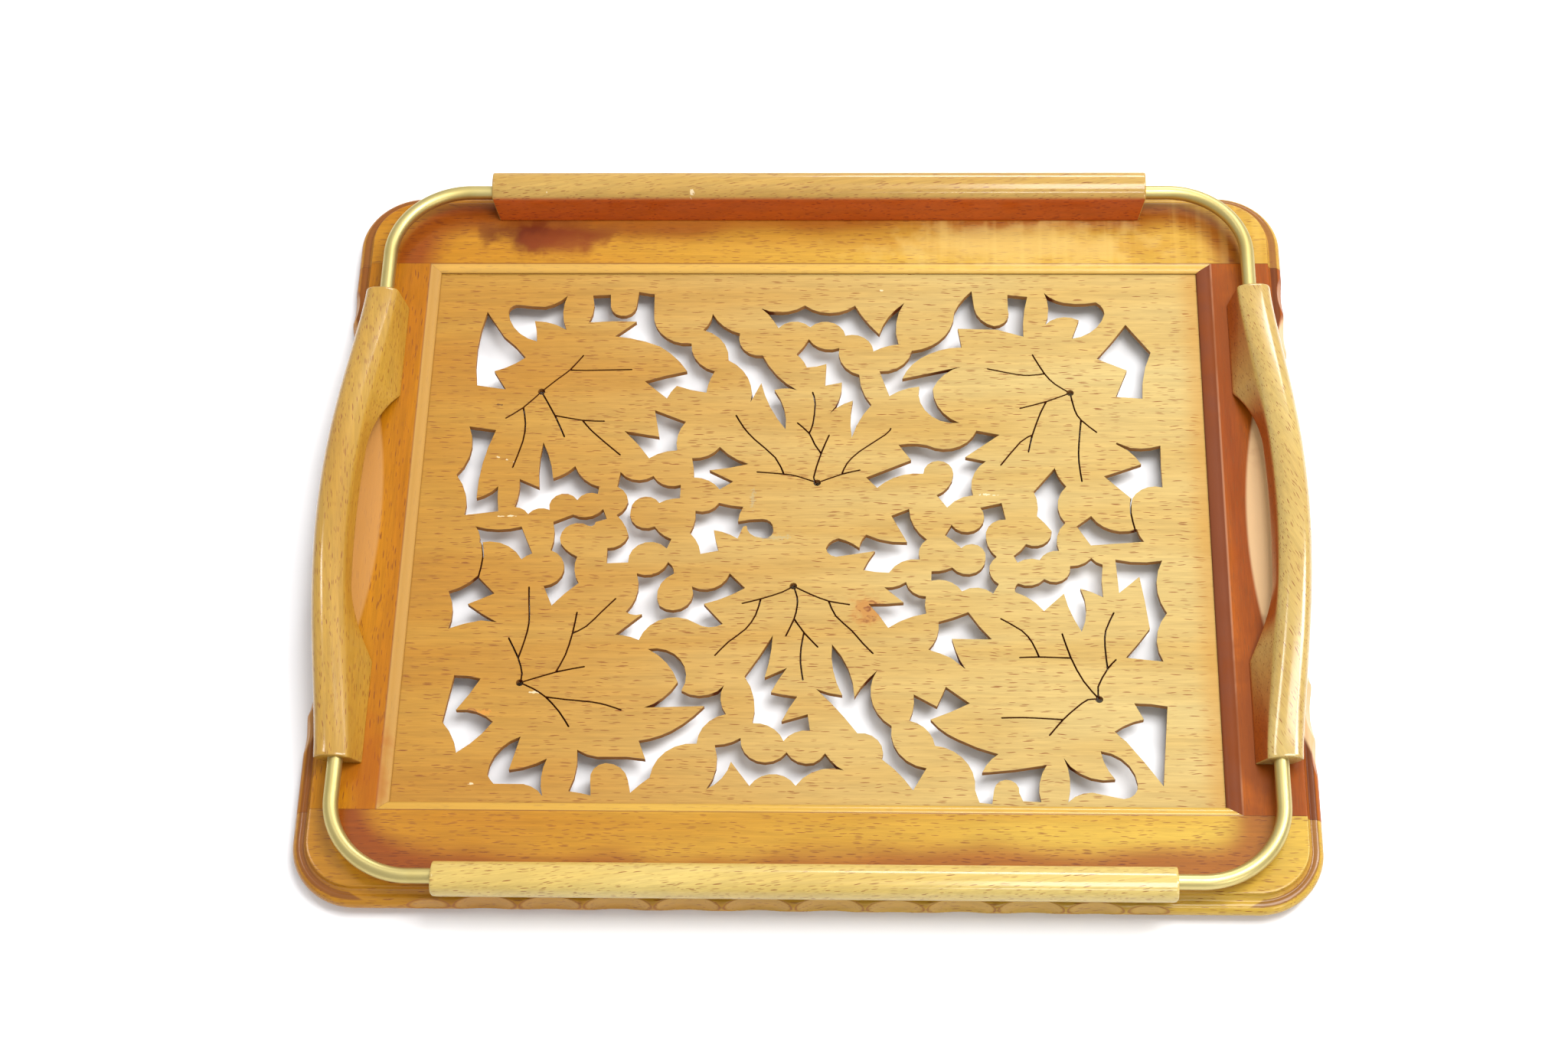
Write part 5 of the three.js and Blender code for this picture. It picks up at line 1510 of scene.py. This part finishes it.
@dataclass
class FretworkPanel:
    """The sawn panel, with its edges eased by sanding and its veins as fine as the blade left them."""

    eased: float = 0.2
    steps: int = 2
    widest_kerf: float = 1.05
    taken_up: float = 0.1
    taken_up_below: float = 0.42
    corner: float = 35.0

    def outline_edges(self, points: Array, triangles: Array) -> Array:
        """Edges round the top face, with the wood on their left.

        An edge of a top triangle lies on the outline where no other top triangle runs along it the
        other way.

        Args:
            points: the panel's points.
            triangles: its faces.

        Returns:
            Point numbers of each edge's two ends.
        """
        on_top = np.all(points[triangles, 2] > PANEL_TOP - 0.01, axis=1)
        chosen = triangles[on_top]
        edges = np.concatenate([chosen[:, [0, 1]], chosen[:, [1, 2]], chosen[:, [2, 0]]])
        forward = edges[:, 0] * len(points) + edges[:, 1]
        backward = edges[:, 1] * len(points) + edges[:, 0]
        return edges[~np.isin(forward, backward)]

    def close_kerfs(self, points: Array, triangles: Array) -> tuple[Array, Array]:
        """Narrows the saw kerfs, which the CAD draws a little wide, most of all at the underside.

        From the middle of each edge a ray runs square to it over the gap. Where it meets another edge
        within the widest kerf, the edge moves that way by a share of the gap. A point goes with the
        mean of its edges that move. The point under it moves further, because dust and the coat have
        filled the kerfs there.

        Args:
            points: the panel's points.
            triangles: its faces.

        Returns:
            The moved points, and 1 for each that stands at a kerf and 0 for the rest.
        """
        edges = self.outline_edges(points, triangles)
        a = points[edges[:, 0], :2]
        along = points[edges[:, 1], :2] - a
        length = np.linalg.norm(along, axis=1, keepdims=True)
        square = pairs(along[:, 1], -along[:, 0]) / length
        middle = a + along / 2
        gap_x = a[None, :, 0] - middle[:, None, 0]
        gap_y = a[None, :, 1] - middle[:, None, 1]
        turn = square[:, None, 0] * along[None, :, 1] - square[:, None, 1] * along[None, :, 0]
        turn = np.where(np.abs(turn) < 1e-9, 1e-9, turn)
        reach = (gap_x * along[None, :, 1] - gap_y * along[None, :, 0]) / turn
        share = (gap_x * square[:, None, 1] - gap_y * square[:, None, 0]) / turn
        met = (reach > 1e-4) & (share >= 0) & (share <= 1)
        gap = np.min(np.where(met, reach, 1e3), axis=1)
        moves = gap < self.widest_kerf
        step = np.where(moves[:, None], square * gap[:, None], 0)
        _, column = np.unique(np.round(points[:, :2], 3), axis=0, return_inverse=True)
        column = column.reshape(-1)
        total = np.zeros((column.max() + 1, 2))
        times = np.zeros(column.max() + 1)
        for end in (0, 1):
            np.add.at(total, column[edges[:, end]], step)
            np.add.at(times, column[edges[:, end]], moves)
        shift = (total / np.maximum(times, 1)[:, None])[column]
        part = np.where(points[:, 2] > PANEL_TOP - 0.1, self.taken_up, self.taken_up_below)
        moved = points + np.pad(shift * part[:, None], ((0, 0), (0, 1)))
        return moved, (times[column] > 0).astype(float)

    def build(self, finish: bpy.types.Material) -> None:
        """Takes the CAD panel's faces, merged, and eases its edges.

        Args:
            finish: its material.
        """
        solid = bmesh.new()
        solid.from_mesh(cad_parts["fretwork_panel"].data)
        bmesh.ops.remove_doubles(solid, verts=solid.verts, dist=MERGE)
        points = np.array([v.co for v in solid.verts]) / MM
        faces = np.array([[v.index for v in f.verts] for f in solid.faces])
        solid.free()
        shell = Shell()
        moved, at_kerf = self.close_kerfs(points, faces)
        shell.add(moved, faces, at_kerf)
        piece = shell.build("fretwork_panel_sawn", self.corner)
        bevel = piece.modifiers.new("eased", "BEVEL")
        bevel.width = self.eased * MM
        bevel.segments = self.steps
        bevel.limit_method = "ANGLE"
        bevel.angle_limit = math.radians(self.corner)
        bevel.harden_normals = True
        settle(piece, finish, "panel_beech", "fretwork_panel")


@dataclass(frozen=True)
class Lamp:
    """A soft lamp that faces the tray: its place and size in metres, and its power in watts."""

    name: str
    place: Point
    size: Pair
    power: float


@dataclass
class Studio:
    """Pale floor, soft lights and the photograph's camera, with the target in millimetres."""

    focal: float = 70.3125
    azimuth: float = 4.24
    elevation: float = 58.78
    roll: float = -3.41
    target: Point = (-11.41, 1.67, 10.6)
    distance: float = 1260.39
    floor_half: float = 4.0
    floor_colour: Colour = (0.8, 0.8, 0.815)
    floor_roughness: float = 0.6
    room_light: float = 0.78
    lamps: tuple[Lamp, ...] = (
        Lamp("ceiling_lamp", (0.5, 0.0, 1.6), (0.8, 0.8), 24.0),
        Lamp("back_lamp", (0.35, 1.6, 1.2), (0.8, 0.3), 13.0),
        Lamp("right_lamp", (1.02, 0.4, 1.17), (0.3, 0.5), 9.0),
        Lamp("left_lamp", (-0.87, 0.69, 1.75), (0.12, 0.4), 2.8),
        Lamp("front_lamp", (0.3, -1.15, 1.58), (0.42, 0.1), 3.2),
        Lamp("window", (1.1, -1.5, 0.85), (0.45, 0.5), 6.0),
    )

    def build_camera(self) -> None:
        """Places the camera: back from the target along its line of sight, then rolled."""
        az, el, roll = (math.radians(v) for v in (self.azimuth, self.elevation, self.roll))
        back = Vector((math.sin(az) * math.cos(el), -math.cos(az) * math.cos(el), math.sin(el)))
        right = (-back).cross(Vector((0, 0, 1))).normalized()
        up = right.cross(-back)
        across = math.cos(roll) * right + math.sin(roll) * up
        upright = -math.sin(roll) * right + math.cos(roll) * up
        data = bpy.data.cameras.new("photo_camera")
        data.lens = self.focal
        data.sensor_width = 36.0
        data.sensor_fit = "HORIZONTAL"
        camera = bpy.data.objects.new("photo_camera", data)
        place = (Vector(self.target) + back * self.distance) * MM
        turn = Matrix((across, upright, back)).transposed().to_4x4()
        camera.matrix_world = Matrix.Translation(place) @ turn
        bpy.context.scene.collection.objects.link(camera)
        bpy.context.scene.camera = camera

    def build_floor(self) -> None:
        """Lays the floor."""
        far = self.floor_half
        corners = [(-far, -far, 0), (far, -far, 0), (far, far, 0), (-far, far, 0)]
        mesh = bpy.data.meshes.new("floor")
        mesh.from_pydata(corners, [], [(0, 1, 2, 3)])
        floor = bpy.data.objects.new("floor", mesh)
        bpy.context.scene.collection.objects.link(floor)
        paint, graph, _ = blank_material("floor_paint")
        graph.shade({"Base Color": (*self.floor_colour, 1), "Roughness": self.floor_roughness})
        mesh.materials.append(paint)

    def light(self, lamp: Lamp) -> None:
        """Hangs one lamp.

        Args:
            lamp: its sizes.
        """
        data = bpy.data.lights.new(lamp.name, "AREA")
        data.shape = "RECTANGLE"
        data.size, data.size_y = lamp.size
        data.energy = lamp.power
        hung = bpy.data.objects.new(lamp.name, data)
        hung.location = lamp.place
        hung.rotation_euler = (-Vector(lamp.place)).to_track_quat("-Z", "Y").to_euler()
        bpy.context.scene.collection.objects.link(hung)

    def build(self) -> None:
        """Sets up camera, floor, lights and the plain view."""
        self.build_camera()
        self.build_floor()
        world = bpy.data.worlds.new("white_room")
        world.use_nodes = True
        air = world.node_tree.nodes["Background"].inputs
        air[0].default_value = (1.0, 1.0, 1.0, 1)
        air[1].default_value = self.room_light
        bpy.context.scene.world = world
        for lamp in self.lamps:
            self.light(lamp)
        bpy.context.scene.view_settings.view_transform = "Standard"


CHIP = (0.62, 0.5, 0.32)
SMUDGE = (0.3, 0.27, 0.16)
WOOD = {"fleck_length": 6.0, "fleck_width": 0.6, "fleck_share": 0.75, "fleck_depth": 1.0}


def frame_finishes() -> dict[Side, FrameFinish]:
    """Says how each member of the frame is finished.

    Returns:
        The finish by the member's side.
    """
    # The rails' left and right tints are painted light: darker on the left, paler and hazier on the right.
    rail = WOOD | {"ring_share": 0.24, "left": (0.81, 0.6, 0.37), "right": (0.94, 0.98, 1.6)}
    stile = WOOD | {"grain": Grain.ALONG_Y, "ring_share": 0.3, "coat": 0.1}
    # On the stiles the gallery's painted shade is faint, and painted light comes in under each grip's arch.
    stile |= {"lacquer": (0.95, 0.9, 0.85), "arch_light_share": 0.75}
    return {
        Side.FRONT: FrameFinish("front_rail_beech", (0.48, 0.3, 0.024), (0.38, 0.19, 0.009), **rail),
        Side.BACK: FrameFinish(
            "back_rail_beech",
            (0.46, 0.265, 0.02),
            (0.35, 0.155, 0.007),
            # Painted light on the sight moulding.
            sight=(0.56, 0.37, 0.1),
            curl_share=0.13,
            coat=0.2,
            spots=(
                # Painted shadow and reflection of the back bar on the rail, a band of painted shade along its
                # foot, and a pale patch of painted reflection.
                Spot(-120.0, 148.0, 27.0, 14.0, (0.1, 0.013, 0.0005), 1.0),
                Spot(-110.0, 143.0, 19.0, 10.0, (0.17, 0.03, 0.002), 0.8),
                Spot(-50.0, 152.5, 90.0, 4.0, (0.26, 0.085, 0.008), 0.5),
                Spot(85.0, 141.0, 60.0, 12.0, (0.52, 0.36, 0.11), 0.5),
            ),
            **rail,
        ),
        # The stiles' base colours are darker and redder than the rails' partly as painted shade from the grips,
        # the right one most.
        Side.LEFT: FrameFinish(
            "left_stile_beech",
            (0.385, 0.155, 0.003),
            (0.3, 0.1, 0.002),
            shift=(0.31, 0.12, 0.05),
            # Painted light on the sight moulding, which faces the lamps.
            sight=(0.36, 0.21, 0.055),
            sight_share=0.75,
            # Painted light under the grip's arch.
            arch_light=(0.42, 0.205, 0.06),
            # Painted shade beside the grip's front foot.
            spots=(Spot(-174.0, -112.0, 11.0, 26.0, (0.26, 0.06, 0.002), 0.6),),
            **stile,
        ),
        Side.RIGHT: FrameFinish(
            "right_stile_beech",
            (0.33, 0.08, 0.001),
            (0.19, 0.036, 0.001),
            shift=(0.11, 0.42, 0.25),
            # Painted shade on the sight moulding, which faces away from the lamps.
            sight=(0.12, 0.03, 0.01),
            sight_share=0.92,
            # Painted highlight on the step's arris.
            step=(0.42, 0.2, 0.11),
            # Deeper painted shade at the moulding's foot and in the quirk, and darker joints.
            dirt=(0.04, 0.006, 0.001),
            # Painted light under the grip's arch.
            arch_light=(0.61, 0.42, 0.22),
            spots=(
                # Painted shadow of the grip on the stile.
                Spot(176.0, -95.0, 16.0, 48.0, (0.15, 0.03, 0.001), 0.75),
                Spot(176.0, 88.0, 16.0, 42.0, (0.17, 0.035, 0.001), 0.6),
            ),
            **stile,
        ),
    }


def gallery_finishes() -> dict[Side, GalleryFinish]:
    """Says how the bars and grips are finished.

    Returns:
        The finish by the piece's side.
    """
    bar = WOOD | {"slant": 9.0, "shift": (0.5, 0.2, 0.3), "fleck_share": 0.8, "coat": 0.8}
    grip = WOOD | {"grain": Grain.ALONG_Y, "coat": 1.0}
    return {
        Side.FRONT: GalleryFinish("front_bar_beech", (0.48, 0.36, 0.11), (0.42, 0.28, 0.06), **bar),
        Side.BACK: GalleryFinish(
            "back_bar_beech",
            (0.4, 0.255, 0.062),
            (0.33, 0.18, 0.03),
            # Painted shade on the inner face, which faces away from the lamps.
            inner=(0.85, 0.22, 0.02),
            spots=(Spot(-54.8, 160.0, 0.8, 1.2, CHIP), Spot(-118.0, 160.0, 0.4, 0.4, CHIP)),
            **bar,
        ),
        Side.LEFT: GalleryFinish(
            "left_grip_beech",
            (0.38, 0.225, 0.034),
            (0.3, 0.15, 0.014),
            slant=6.0,
            shift=(0.7, 0.3, 0.1),
            # Hardly any painted shade: this grip's inner faces look towards the lamps.
            inner=(1.0, 0.95, 0.8),
            **grip,
        ),
        Side.RIGHT: GalleryFinish(
            "right_grip_beech",
            (0.42, 0.31, 0.1),
            (0.35, 0.22, 0.05),
            slant=24.0,
            shift=(0.2, 0.6, 0.4),
            # Painted shade on the inner face, which faces away from the lamps.
            inner=(0.7, 0.2, 0.04),
            **grip,
        ),
    }


def panel_finish() -> PanelFinish:
    """Says how the fretwork panel is finished, with its chips and smudges.

    Returns:
        The finish.
    """
    return PanelFinish(
        "panel_beech",
        (0.45, 0.37, 0.125),
        (0.4, 0.28, 0.065),
        fleck_length=6.5,
        fleck_width=0.55,
        fleck_share=0.6,
        fleck_depth=1.0,
        ring_share=0.22,
        shift=(0.11, 0.4, 0.2),
        # Painted light from left to right: darker and more saturated on the left, paler on the right.
        left=(0.77, 0.47, 0.17),
        right=(0.93, 0.84, 0.93),
        spots=(
            Spot(72.0, 15.5, 2.6, 0.5, CHIP),
            Spot(75.0, 15.2, 1.2, 0.4, CHIP),
            Spot(28.0, 118.5, 0.9, 0.5, CHIP),
            Spot(-131.5, -118.8, 0.9, 0.5, CHIP),
            Spot(-109.5, -78.0, 2.4, 0.5, CHIP),
            Spot(-131.5, 33.0, 0.8, 0.5, CHIP),
            Spot(-128.0, 31.8, 0.8, 0.4, CHIP),
            Spot(-125.0, 30.8, 0.6, 0.4, CHIP),
            Spot(-128.0, 4.2, 1.6, 0.35, CHIP),
            Spot(-124.0, 4.4, 1.4, 0.35, CHIP),
            Spot(-16.0, -5.5, 7.0, 1.2, SMUDGE, 0.45),
            Spot(-24.5, 13.0, 0.9, 5.0, SMUDGE, 0.4),
            Spot(-133.0, 59.3, 1.6, 0.4, (0.08, 0.03, 0.01)),
            Spot(-129.5, -87.3, 3.4, 1.4, (0.5, 0.2, 0.03), 0.6),
            Spot(-134.0, -87.0, 1.5, 0.9, (0.06, 0.02, 0.008)),
        ),
    )


def main() -> None:
    """Builds the tray and the studio."""
    logging.basicConfig(level=logging.INFO, format="%(name)s: %(message)s")
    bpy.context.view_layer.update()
    Studio().build()
    members = frame_finishes()
    raised = gallery_finishes()
    brass = MetalFinish("satin_brass", (0.52, 0.43, 0.175), (0.45, 0.36, 0.13), 0.4).material()
    steel = MetalFinish("screw_steel", (0.56, 0.55, 0.53), (0.45, 0.44, 0.43), 0.35).material()
    dowel = BeechFinish("dowel_beech", (0.76, 0.5, 0.17), (0.68, 0.4, 0.1), grain=Grain.ALONG_Y).material()

    tray = Frame()
    gallery = Gallery()
    screws = Screws()
    places = screws.places(gallery)
    # Each side has a member of the frame, with its screws' holes, and a bar or a grip on it
    for side in Side:
        under = [place for name, place in places.items() if f"_screw_{side.word}" in name]
        build = tray.build_stile if side.is_short else tray.build_rail
        build(side, members[side].material(), under)
        gallery.build(side, raised[side].material())
    FretworkPanel().build(panel_finish().material())
    CornerRods().build(brass)
    screws.build(places, steel)
    for name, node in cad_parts.items():
        if name.startswith("dowel_"):
            node.data.materials.clear()
            node.data.materials.append(dowel)
            log.info("%s: dressed as it is", name)


if __name__ == "__main__":
    main()
